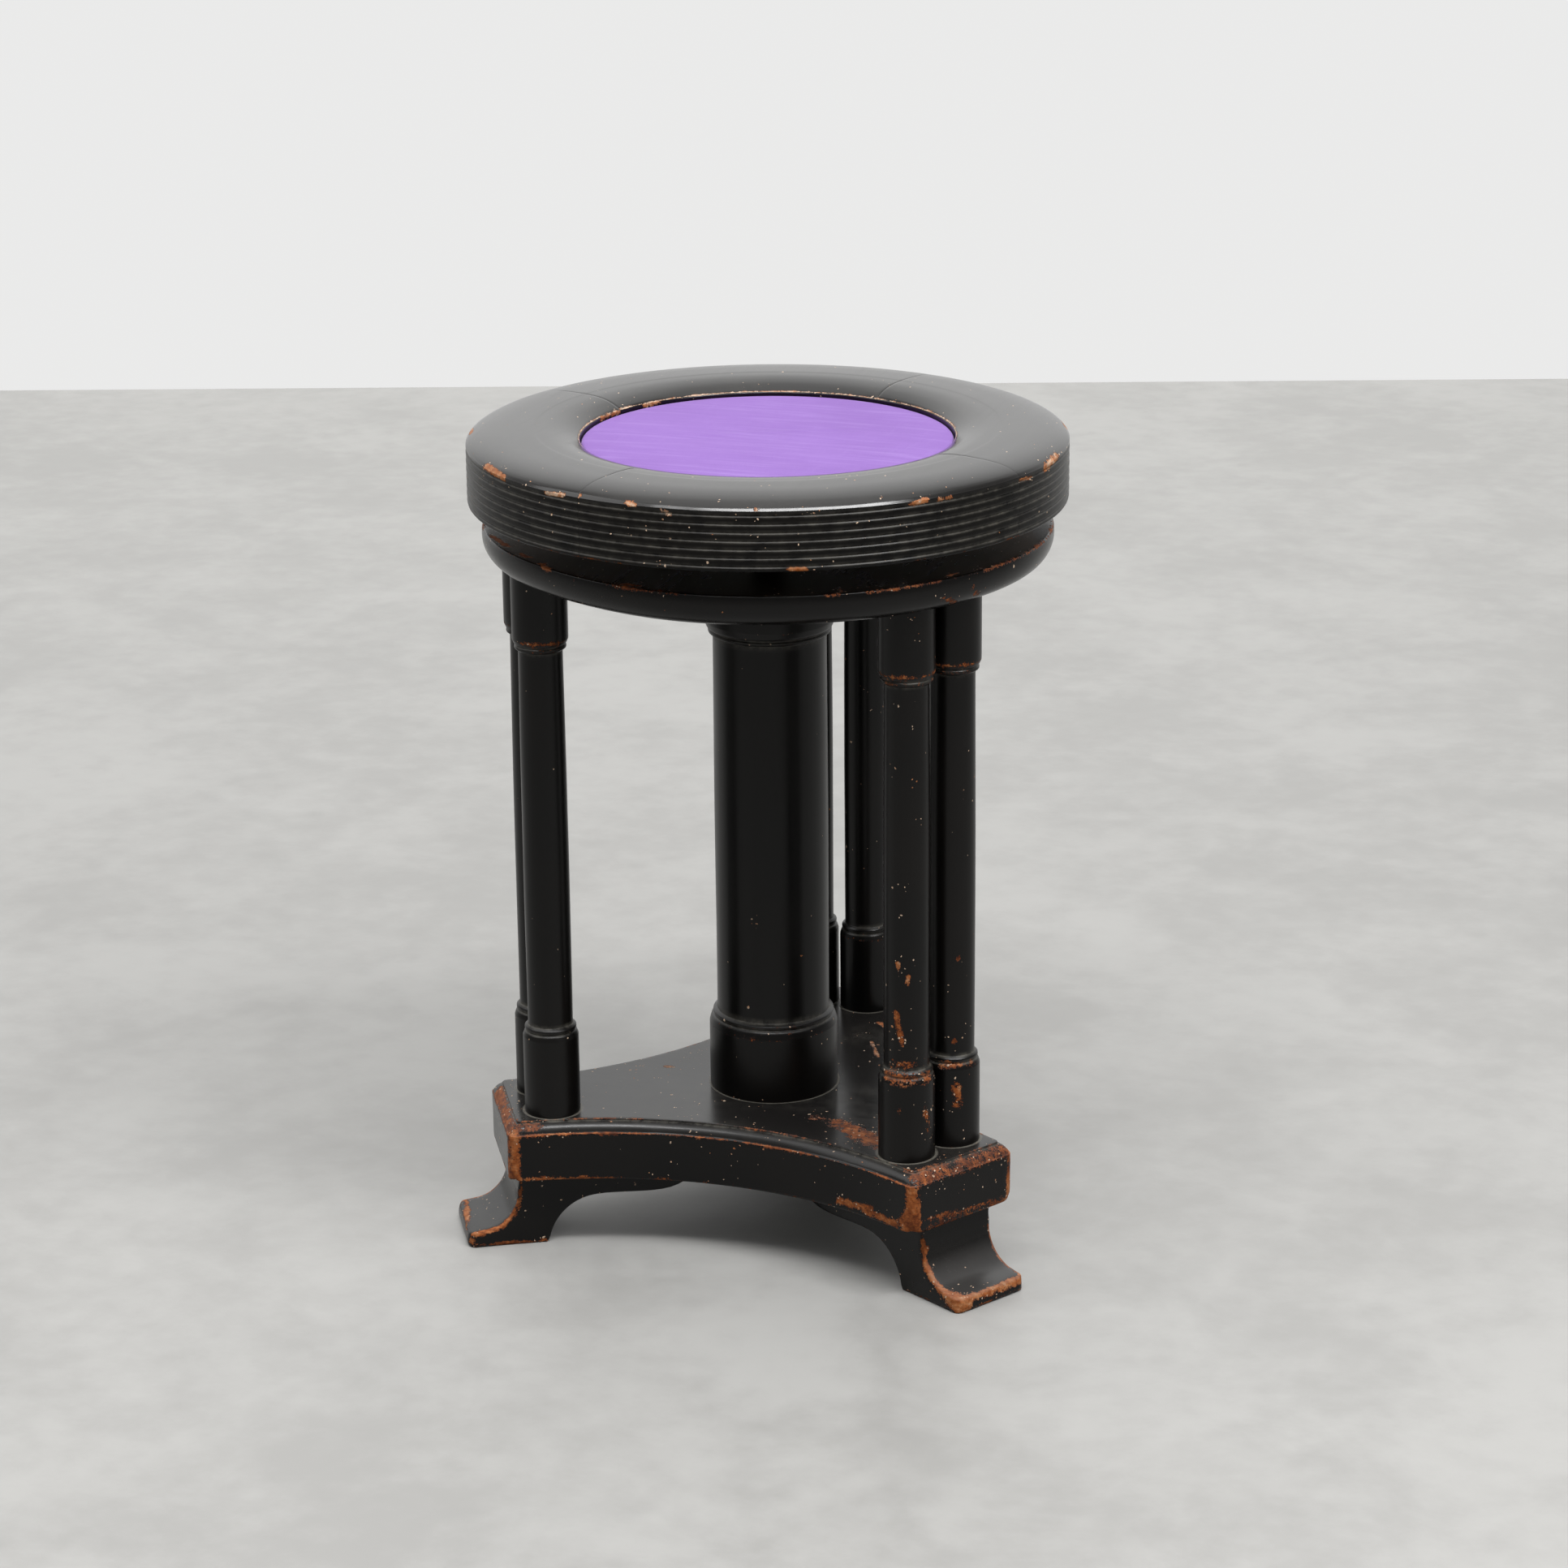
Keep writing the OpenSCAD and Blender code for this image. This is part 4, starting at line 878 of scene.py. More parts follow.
def top_disc():
    a, z0, z1 = DISC_R - 11.5, DISC_Z0, DISC_Z1
    low = [(a + 11.5 * math.sin(t), z0 + 14.0 - 14.0 * math.cos(t)) for t in np.radians(np.arange(0, 91, 7.5))]
    pts = [(28.05, z0), (a - 3, z0)] + [tuple(p) for p in low] + [
        (DISC_R - 0.1, z1 - 2.6), (DISC_R - 0.5, z1 - 0.5, 0.7, 1.0), (DISC_R - 1.5, z1, 0.8, 0.7), (DISC_R - 6, z1), (DISC_R - 12, z1),
        (40.1, z1, 0.3, 0.5), (40.1, z1 - 5), (20.1, z1 - 5), (20.1, z0 + 8.2), (28.05, z0 + 8.2)]
    sec, marks = rounded(pts, closed=True, step=3.4)
    verts, lab, faces, flat = revolve(sec, marks, 300, True)
    # The disc has shrunk out of round: a little flat at the left front, and a little full at the left.
    rad, ang = np.hypot(verts[:, 0], verts[:, 1]), np.degrees(np.arctan2(verts[:, 1], verts[:, 0]))
    off = 1.4 * np.exp(-((ang + 170.0) / 16.0) ** 2) - 5.0 * np.exp(-((ang + 119.0) / 25.0) ** 2)
    scale = 1 + off * smooth(rad, 120, 160) / np.maximum(rad, 1.0)
    verts[:, 0] *= scale
    verts[:, 1] *= scale
    ob = piece("top_disc_turning", verts, faces, "base", "top_disc", BLACK_DISC, flat)
    attributes(ob, lab, "top_disc", width=2.0, low=0.20, high=0.62, rub_scale=1 / 30.0, seed=5, wobble=0.10, speck=0.030, dust=0.12, tone=0.38)


# ---------------------------------------------------------------- seat ring

def ring_section():
    zr, za, p = RIM_Z0, ARRIS_Z, (ARRIS_Z - RIM_Z0 - 6.5) / 6
    pts = [(165.2, zr, 0.3, 0.3), (SEAT_R - 0.7, zr, 0.6, 0.8), (SEAT_R - 0.15, zr + 0.6, 0.5, 0.8), (SEAT_R, zr + 1.6)]
    for i in range(7):
        z = zr + 2.9 + i * p
        pts += [(SEAT_R - 0.02, z - 0.95, 1.1, 0.28), (SEAT_R - 0.62, z - 0.12, 0.10, -1), (SEAT_R - 0.62, z + 0.12, 0.10, -1),
                (SEAT_R - 0.02, z + 0.95, 1.1, 0.28)]
        if i < 6:
            pts.append((SEAT_R + 0.06, z + p / 2))
    dome = [(SEAT_R - 1.6, 500.00), (SEAT_R - 3.5, 501.30), (SEAT_R - 7, 502.80), (SEAT_R - 12, 504.05), (SEAT_R - 20, 505.07),
            (SEAT_R - 30, 505.47), (SEAT_R - 40, 505.60), (RECESS_R + 27, 505.53), (RECESS_R + 18, 505.10), (RECESS_R + 10, 503.60),
            (RECESS_R + 5, 501.75), (RECESS_R + 2, 500.25)]
    # A narrow flat is worn on the arris.
    pts += [(SEAT_R, za - 2.4), (SEAT_R - 0.02, za - 0.9, 0.30, 0.30), (SEAT_R - 1.00, za + 0.25, 0.30, 0.25)]
    pts += [tuple(q) for q in spline(dome, 4)]
    pts += [(RECESS_R + 0.55, 499.25, 0.30, 12.3), (RECESS_R, 498.45, 0.25), (RECESS_R, BOARD_Z1), (165.2, BOARD_Z1)]
    return rounded(pts, closed=True, step=3.2, support=0.3)


def ring_segments():
    sec, marks = ring_section()
    # The joints have opened a little at the inner half of the face and are tight outside.
    soften = np.interp(sec[:, 0], [112, 140, 160, 172], [1.0, 0.7, 0.25, 0.10])
    for i in range(4):
        a0 = math.radians(JOINT_ANGLE + 90 * i + 0.015)
        a1 = a0 + math.radians(89.97)
        small = 0.30 / 150
        n = 104
        cols = [(a0, 0.28), (a0 + small * 0.3, 0.085), (a0 + small, 0.0)]
        cols += [(a0 + small + (a1 - a0 - 2 * small) * j / n, 0.0) for j in range(1, n)]
        cols += [(a1 - small, 0.0), (a1 - small * 0.3, 0.085), (a1, 0.28)]
        verts, lab, faces, flat = revolve(sec, marks, cols, True, soften=soften)
        node = "ring_segment_%d" % (i + 1)
        k = len(sec)
        m = len(cols)
        # The joint's own edges are a little worn where they meet the open faces.
        open_face = (sec[:, 0] > 179) | (sec[:, 1] > 499.5)
        for c, amount in ((1, 0.30), (m - 2, 0.30)):
            here = lab[c * k:(c + 1) * k]
            here[(here == 0) & open_face] = amount
        ob = piece(node + "_reeded", verts, faces, "seat", node, BLACK_SEAT[i], flat)
        # The seat ring's upward faces get a faint painted light lift.
        attributes(ob, lab, node, width=1.5, low=0.10, high=0.62, rub_scale=1 / 34.0, seed=20, wobble=0.03, chip=0.16,
                   speck=0.018, dust=0.06, tone=0.45, painted_light=0.06,
                   dull=lambda co: smooth(np.hypot(co[:, 0], co[:, 1]), 178.6, 179.4) * (co[:, 2] < 497.0))


# ---------------------------------------------------------------- plinth

CORNER_D = CORNER_R * 0.5 + CORNER_W / 2 * math.sin(math.radians(60))
CORNER_S = CORNER_R * math.sin(math.radians(60)) - CORNER_W / 2 * 0.5
SIDE_C = (CORNER_D ** 2 + CORNER_S ** 2 - WAIST_R ** 2) / (2 * (CORNER_D - WAIST_R))
SIDE_R = SIDE_C - WAIST_R


def plinth_outline(inset, fillet, nl=15, nf=5, na=40):
    """The plan drawn in by inset, with rounded corners, as a ring of points that keeps its order at any inset."""
    sx, sy = SIDE_C * 0.5, SIDE_C * math.sin(math.radians(60))
    fx = CORNER_R - inset - fillet
    fy = sy - math.sqrt((SIDE_R + inset + fillet) ** 2 - (fx - sx) ** 2)
    half, corner = [], []
    for j in range(nl):
        half.append((CORNER_R - inset, fy * j / nl))
        corner.append(0)
    to = math.atan2(sy - fy, sx - fx)
    for j in range(nf + 1):
        a = to * j / nf
        half.append((fx + fillet * math.cos(a), fy + fillet * math.sin(a)))
        corner.append(1)
    start = math.atan2(fy - sy, fx - sx)
    end = math.radians(240)
    start = start % (2 * math.pi)
    for j in range(1, na + 1):
        a = start + (end - start) * j / na
        half.append((sx + (SIDE_R + inset) * math.cos(a), sy + (SIDE_R + inset) * math.sin(a)))
        corner.append(0)
    lower = [(x, -y) for x, y in reversed(half[1:-1])]
    third = lower + half
    ids = list(reversed(corner[1:-1])) + corner
    out, lab = [], []
    for a in (90, 210, 330):
        c, s = math.cos(math.radians(a)), math.sin(math.radians(a))
        out += [(x * c - y * s, x * s + y * c) for x, y in third]
        lab += ids
    return np.array(out), np.array(lab)


def plinth():
    # (height, inset, corner's radius, mark of the row, mark of the vertical corner)
    rows = [(47.0, 2.0, 3.4, 0.0), (47.0, 1.3, 4.1, 0.5), (47.25, 0.6, 4.8, 0.72), (47.7, 0.2, 5.3, 0.72), (48.4, 0.0, 5.5, 0.66),
            (49.2, 0.0, 5.5, 0.0)]
    rows += [(49.2 + (77.0 - 49.2) * j / 10, 0.0, 5.5, 0.0) for j in range(1, 11)]
    rows += [(77.5, 0.05, 5.45, 10.8), (77.8, 0.2, 5.3, 11.0), (78.0, 0.5, 5.1, 10.9), (78.02, 0.7, 5.0, 0.0)]
    for j in range(1, 10):
        t = j / 9
        bulge = 0.55 * math.sin(math.pi * t)
        rows.append((78.05 + 5.6 * t + bulge * 0.72, 0.75 + 5.2 * t - bulge * 0.70, 4.9 - 1.5 * t, 0.0))
    rows += [(83.58, 6.10, 3.4, -1.0), (83.70, 6.22, 3.4, -1.0), (84.2, 6.25, 3.4, 0.0), (84.62, 6.28, 3.4, 0.45),
             (84.9, 6.42, 3.3, 0.62), (85.0, 6.75, 3.2, 0.5), (85.0, 7.2, 3.1, 0.0)]
    verts, labels = [], []
    loops = []
    for z, inset, fillet, mark in rows:
        pts, corner = plinth_outline(inset, fillet)
        lab = np.full(len(pts), mark)
        face = (48.0 < z < 77.4)
        if face:
            lab = np.where(corner == 1, 1.0, lab)
        loops.append(np.column_stack([pts, np.full(len(pts), z)]))
        labels.append(lab)
    # Inwards over the top to the middle hole, down the hole, and outwards over the underside.
    n = len(loops[0])
    hole_r = 28.05

    def shrink(loop, z, steps, back=False):
        ang = np.arctan2(loop[:, 1], loop[:, 0])
        ring = np.column_stack([hole_r * np.cos(ang), hole_r * np.sin(ang), np.full(n, z)])
        out = [loop + (ring - loop) * (j / steps) for j in range(1, steps + 1)]
        return out if not back else out[::-1]

    # Evenly spread angles at the hole keep its rim round.
    for loop in shrink(loops[-1], 85.0, 46):
        loops.append(loop)
        labels.append(np.zeros(n))
    inner = loops[-1]
    for z in (75.0, 66.0, 57.0, 47.0):
        ring = inner.copy()
        ring[:, 2] = z
        loops.append(ring)
        labels.append(np.zeros(n))
    for loop in shrink(loops[0], 47.0, 14, back=True)[1:]:
        loops.append(loop)
        labels.append(np.zeros(n))
    verts = np.concatenate(loops)
    labels = np.concatenate(labels)
    # The lower ends of the upright edges are knocked round.
    tips, corner = plinth_outline(0.0, 5.5)
    tips = tips[corner == 1]
    way = np.degrees(np.arctan2(tips[:, 1], tips[:, 0]))
    for turn_angle in (90, 210, 330):
        for half in (-1, 1):
            off = (way - turn_angle + 180) % 360 - 180
            tip = tips[off * half > 0]
            tip = tip[np.abs(off[off * half > 0]) < 60].mean(0)
            d = np.sqrt((verts[:, 0] - tip[0]) ** 2 + (verts[:, 1] - tip[1]) ** 2 + (verts[:, 2] - 47.0) ** 2)
            pull = 1.7 * np.exp(-(d / 3.4) ** 2)
            inward = -tip / np.linalg.norm(tip)
            verts[:, 0] += inward[0] * pull
            verts[:, 1] += inward[1] * pull
            verts[:, 2] += 0.8 * pull
    faces = []
    m = len(loops)
    for i in range(m):
        u, v = i * n, ((i + 1) % m) * n
        for j in range(n):
            j2 = (j + 1) % n
            faces.append((u + j, u + j2, v + j2, v + j))
    ob = piece("plinth_board", verts, faces, "base", "plinth", BLACK_PLINTH)
    # The plinth's upward faces get a faint painted light lift, which brightens its shaded top.
    attributes(ob, labels, "plinth", width=2.3, low=0.42, high=1.0, rub_scale=1 / 38.0, seed=9, wobble=0.08, chip=0.30,
               speck=0.040, dust=0.10, tone=0.42, painted_light=0.06)


# ---------------------------------------------------------------- feet

def arc(cx, cy, r, a0, a1, n):
    return [(cx + r * math.cos(math.radians(a0 + (a1 - a0) * i / n)), cy + r * math.sin(math.radians(a0 + (a1 - a0) * i / n)))
            for i in range(n + 1)]


def foot_outline():
    toe = 198.5
    pts = [(50, FOOT_H, 0, 0.2), (165.4, FOOT_H, 0.5, 0.5), (166.1, FOOT_H - 5.5), (167.0, FOOT_H - 11.0)]
    pts += arc(190.2, 33.6, 23.1, 184, 257, 16)
    pts += [(toe - 7.0, 10.15), (toe - 0.9, 9.1, 2.6, 1.0), (toe - 0.05, 5.0), (toe, 3.4), (toe - 0.2, 0.0, 2.2, 0.9)]
    pts += [(149.0, 0.0, 1.4, 0.7), (147.2, 4.0)]
    pts += arc(115.6, -3.3, 32.4, 16, 86, 16)
    pts += [(112, 29.35), (104, 29.15), (94, 28.7), (84, 28.4), (77, 28.7), (71.5, 29.5), (66.5, 31), (61.5, 33.6),
            (57, 37), (53, 41.5)]
    # The list runs clockwise in (x, z); turned round it has its solid on the left.
    pts = [tuple(p) for p in pts][::-1]
    return rounded(pts, closed=True, step=2.6, support=0.3)


def foot(node, direction, seed):
    sec, marks = foot_outline()
    area = 0.5 * np.sum(sec[:, 0] * np.roll(sec[:, 1], -1) - np.roll(sec[:, 0], -1) * sec[:, 1])
    if area < 0:
        sec, marks = sec[::-1], marks[::-1]
    e = np.roll(sec, -1, 0) - sec
    e /= np.linalg.norm(e, axis=1)[:, None] + 1e-12
    nrm = np.stack([e[:, 1], -e[:, 0]], 1)
    nrm = nrm + np.roll(nrm, 1, 0)
    nrm /= np.linalg.norm(nrm, axis=1)[:, None] + 1e-12
    half = FOOT_W / 2
    # The toe's corners are rounder than the other edges, and the front's edges are the most worn.
    f = 1.3 + 0.7 * smooth(sec[:, 0], 162.0, 169.0) + 0.8 * smooth(sec[:, 0], 187.0, 196.0)
    # The rounding never outgrows the outline's own corners, so the side's rim can't cross itself.
    for cx, cz, r in ((50.0, FOOT_H, 0.0), (165.4, FOOT_H, 0.5), (197.6, 9.1, 2.6), (198.3, 0.0, 2.2), (149.0, 0.0, 1.4)):
        f = np.minimum(f, 0.12 + 0.4 * r + 0.4 * np.maximum(np.hypot(sec[:, 0] - cx, sec[:, 1] - cz) - 3.0, 0.0))
    span = np.roll(sec, -1, 0) - sec
    for _ in range(400):
        s = sec - nrm * f[:, None]
        turned = np.einsum("ij,ij->i", np.roll(s, -1, 0) - s, span) < 0.12 * np.einsum("ij,ij->i", span, span)
        if not turned.any():
            break
        f = np.where(turned | np.roll(turned, 1), f * 0.93, f)
        f = np.minimum(f, (np.roll(f, 1) + np.roll(f, -1)) / 2 + 0.10)
    front = smooth(sec[:, 0], 160.0, 166.0)
    edge_mark = 0.30 + 0.70 * np.maximum(front, (0.35 if node == "foot_left" else 0.75) * (sec[:, 1] < 1.5))
    rows = [(-1, a) for a in (90, 67, 45, 22, 0)] + [(0, j / 24) for j in range(25)] + [(1, a) for a in (0, 22, 45, 67, 90)]
    n = len(sec)
    verts, labels = [], []
    for sign, a in rows:
        if sign:
            t = math.radians(a)
            y = sign * (half - f + f * math.sin(t))
            s = sec - nrm * (f * (1 - math.cos(t)))[:, None]
            labels.append(np.maximum(marks, edge_mark))
        else:
            y = (half - f - 0.4) * (2 * a - 1)
            s = sec
            labels.append(marks)
        verts.append(np.column_stack([s[:, 0], y, s[:, 1]]))
    m = len(rows)
    faces = []
    for i in range(m - 1):
        u, v = i * n, (i + 1) * n
        for j in range(n):
            j2 = (j + 1) % n
            faces.append((u + j, v + j, v + j2, u + j2))
    verts, labels = np.concatenate(verts), np.concatenate(labels)
    # Both sides are filled with an even net so that wear can be drawn on them.
    for row, flip in ((0, True), (m - 1, False)):
        base = verts[row * n:(row + 1) * n]
        y = base[0, 1]
        rim = [(float(p[0]), float(p[2])) for p in base]
        xs = np.arange(50, 200, 2.3)
        zs = np.arange(1.5, 47, 2.3)
        inner = []
        poly = np.array(rim)
        for x in xs:
            for z in zs:
                if inside(poly, x, z) and np.min(np.hypot(poly[:, 0] - x, poly[:, 1] - z)) > 1.2:
                    inner.append((x, z))
        pts = rim + inner
        edges = [(i, (i + 1) % n) for i in range(n)]
        got, _, tri, orig, _, _ = geometry.delaunay_2d_cdt([Vector(p) for p in pts], edges, [], 1, 1e-5)
        index = []
        for i, p in enumerate(got):
            src = orig[i][0] if len(orig[i]) else -1
            if 0 <= src < n:
                index.append(row * n + src)
            else:
                index.append(len(verts))
                verts = np.vstack([verts, [[p[0], y, p[1]]]])
                labels = np.append(labels, 0.0)
        for t in tri:
            a, b, c = (index[i] for i in t)
            pa, pb, pc = got[t[0]], got[t[1]], got[t[2]]
            ccw = (pb - pa).cross(pc - pa) > 0
            # Counter-clockwise in (x, z) looks towards -y.
            want = row == 0
            faces.append((a, b, c) if ccw == want else (a, c, b))
    t = math.radians(direction)
    x, y = verts[:, 0].copy(), verts[:, 1].copy()
    # Seen from above the toe's two corners are rounded.
    corner = 6.0
    u, v = np.clip((x - (198.5 - corner)) / corner, 0, 1), np.clip((np.abs(y) - (half - corner)) / corner, 0, 1)
    x = np.where(u > 0, 198.5 - corner + corner * u * np.sqrt(1 - v * v / 2), x)
    y = np.where(v > 0, np.sign(y) * (half - corner + corner * v * np.sqrt(1 - u * u / 2)), y)
    verts[:, 2] = np.maximum(verts[:, 2], 0.05)
    verts[:, 0], verts[:, 1] = x * math.cos(t) - y * math.sin(t), x * math.sin(t) + y * math.cos(t)
    ob = piece(node + "_board", verts, faces, "base", node, BLACK_FOOT[seed % 3])
    # The right and back feet get a painted light lift on their upward faces, the right one most.
    attributes(ob, labels, node, width=2.4, low=0.30, high=0.95, rub_scale=1 / 30.0, seed=70 + seed, wobble=0.08, chip=0.30,
               speck=0.045, dust=0.05, tone=0.45, painted_light={"foot_right": 0.22, "foot_back": 0.12}.get(node, 0.0))


def inside(poly, x, y):
    a, b = poly, np.roll(poly, -1, 0)
    cross = ((a[:, 1] > y) != (b[:, 1] > y)) & (x < (b[:, 0] - a[:, 0]) * (y - a[:, 1]) / (b[:, 1] - a[:, 1] + 1e-12) + a[:, 0])
    return bool(np.count_nonzero(cross) % 2)


# ---------------------------------------------------------------- iron screw

def spindle():
    """The screw with its thread as one even net: columns round it, rows that climb one lead a turn."""
    steps, lead, n = 72, 6.0, 25
    r0, r1, w0, w1 = 10.0, 12.0, 4.2, 1.6
    z1 = BOARD_Z0 - 3
    z0 = z1 - 26 * lead
    zc = z0 + lead / 2
    shape = [(-w0 / 2 - 0.12, 0.0), (-w0 / 2 + 0.10, 0.10), (-w1 / 2 - 0.18, 0.93), (-w1 / 2 + 0.12, 1.0), (w1 / 2 - 0.12, 1.0),
             (w1 / 2 + 0.18, 0.93), (w0 / 2 - 0.10, 0.10), (w0 / 2 + 0.12, 0.0)]
    q = len(shape)
    verts = []
    for j in range(steps):
        a = 2 * math.pi * j / steps
        verts.append((r0 * math.cos(a), r0 * math.sin(a), z0))
        for k in range(n):
            g = max(0.0, min(1.0, (k * steps + j) / 36, ((n - 1) * steps + steps - 1 - k * steps - j) / 36))
            for dz, out in shape:
                r = r0 + (r1 - r0) * out * g
                verts.append((r * math.cos(a), r * math.sin(a), zc + lead * (k + j / steps) + dz))
        verts.append((r0 * math.cos(a), r0 * math.sin(a), z1))
    m = q * n + 2
    faces = []
    for j in range(steps - 1):
        for i in range(m - 1):
            faces.append((j * m + i, (j + 1) * m + i, (j + 1) * m + i + 1, j * m + i + 1))
    last = (steps - 1) * m
    for i in range(1, m - 1 - q):
        faces.append((last + i, i + q, i + q + 1, last + i + 1))
    faces.append((last, 0, last + 1))
    for i in range(q + 1):
        faces.append((last + 1, i, i + 1))
    top = m - 1
    for i in range(m - 1 - q, m - 1):
        faces.append((last + i, top, last + i + 1))
    # Ends: a plain lower end with a small chamfer, and the neck that goes up into the flange.
    base = len(verts)
    rings = [(r0, z0), (8.6, z0), (8.0, z0 - 0.6), (8.0, z0 - 9.2), (7.2, z0 - 10.0)]
    for r, z in rings[1:]:
        for j in range(steps):
            a = 2 * math.pi * j / steps
            verts.append((r * math.cos(a), r * math.sin(a), z))
    prev = [j * m for j in range(steps)]
    for i in range(len(rings) - 1):
        cur = [base + i * steps + j for j in range(steps)]
        for j in range(steps):
            j2 = (j + 1) % steps
            faces.append((cur[j], cur[j2], prev[j2], prev[j]))
        prev = cur
    verts.append((0, 0, z0 - 10.0))
    for j in range(steps):
        faces.append((len(verts) - 1, prev[(j + 1) % steps], prev[j]))
    base = len(verts)
    prev = [j * m + top for j in range(steps)]
    rings = [(9.9, z1 + 0.1), (9.8, z1 + 0.4), (9.8, BOARD_Z0 + 13.4), (9.2, BOARD_Z0 + 14.0)]
    for i, (r, z) in enumerate(rings):
        for j in range(steps):
            a = 2 * math.pi * j / steps
            verts.append((r * math.cos(a), r * math.sin(a), z))
        cur = [base + i * steps + j for j in range(steps)]
        for j in range(steps):
            j2 = (j + 1) % steps
            faces.append((prev[j], prev[j2], cur[j2], cur[j]))
        prev = cur
    verts.append((0, 0, BOARD_Z0 + 14.0))
    for j in range(steps):
        faces.append((len(verts) - 1, prev[j], prev[(j + 1) % steps]))
    return piece("spindle_screw", np.array(verts), faces, "seat", "spindle", IRON_SCREW)


# ---------------------------------------------------------------- cloth panel

PANEL_R = RECESS_R - 0.4


def cover_top():
    """The cover's upper face as a net of rings, pinned at its rim and swollen a little over its pad by a cloth
    simulation. Returns how far each point rose, in millimetres, as a function of place."""
    rings, spokes = 26, 96
    verts = [(0.0, 0.0, CLOTH_Z * MM)]
    for i in range(1, rings + 1):
        r = (PANEL_R - 2.2) * i / rings
        for j in range(spokes):
            a = 2 * math.pi * (j + 0.5 * (i % 2)) / spokes
            verts.append((r * math.cos(a) * MM, r * math.sin(a) * MM, CLOTH_Z * MM))
    faces = [(0, 1 + j, 1 + (j + 1) % spokes) for j in range(spokes)]
    for i in range(rings - 1):
        u, v = 1 + i * spokes, 1 + (i + 1) * spokes
        off = 0 if (i + 1) % 2 else 1
        for j in range(spokes):
            j2 = (j + 1) % spokes
            if (i + 1) % 2:
                faces += [(u + j, v + j, v + j2), (u + j, v + j2, u + j2)]
            else:
                faces += [(u + j, v + j, u + j2), (v + j, v + j2, u + j2)]
    me = bpy.data.meshes.new("cloth_net")
    me.from_pydata(verts, [], faces)
    ob = bpy.data.objects.new("cloth_net", me)
    scene.collection.objects.link(ob)
    group = ob.vertex_groups.new(name="held")
    group.add([1 + (rings - 1) * spokes + j for j in range(spokes)], 1.0, "REPLACE")
    # The cloth is a little slack, so that it isn't drum-flat.
    mod = ob.modifiers.new("cloth", "CLOTH")
    s = mod.settings
    s.quality = 8
    s.mass = 0.25
    s.tension_stiffness = 20
    s.compression_stiffness = 12
    s.shear_stiffness = 4
    s.bending_stiffness = 0.08
    s.shrink_min = -0.004
    s.use_pressure = True
    s.uniform_pressure_force = 4.0
    s.vertex_group_mass = "held"
    s.effector_weights.gravity = 0.0
    mod.collision_settings.use_collision = False
    mod.point_cache.frame_start, mod.point_cache.frame_end = 1, 20
    for f in range(1, 21):
        scene.frame_set(f)
    deps = bpy.context.evaluated_depsgraph_get()
    shaped = ob.evaluated_get(deps).to_mesh()
    got = np.zeros(len(shaped.vertices) * 3, np.float32)
    shaped.vertices.foreach_get("co", got)
    ob.evaluated_get(deps).to_mesh_clear()
    got = got.reshape(-1, 3) / MM
    rest = np.array(verts) / MM
    scene.frame_set(1)
    bpy.data.objects.remove(ob)
    bpy.data.meshes.remove(me)
    rise = got[:, 2] - rest[:, 2]
    return rest[:, :2], rise


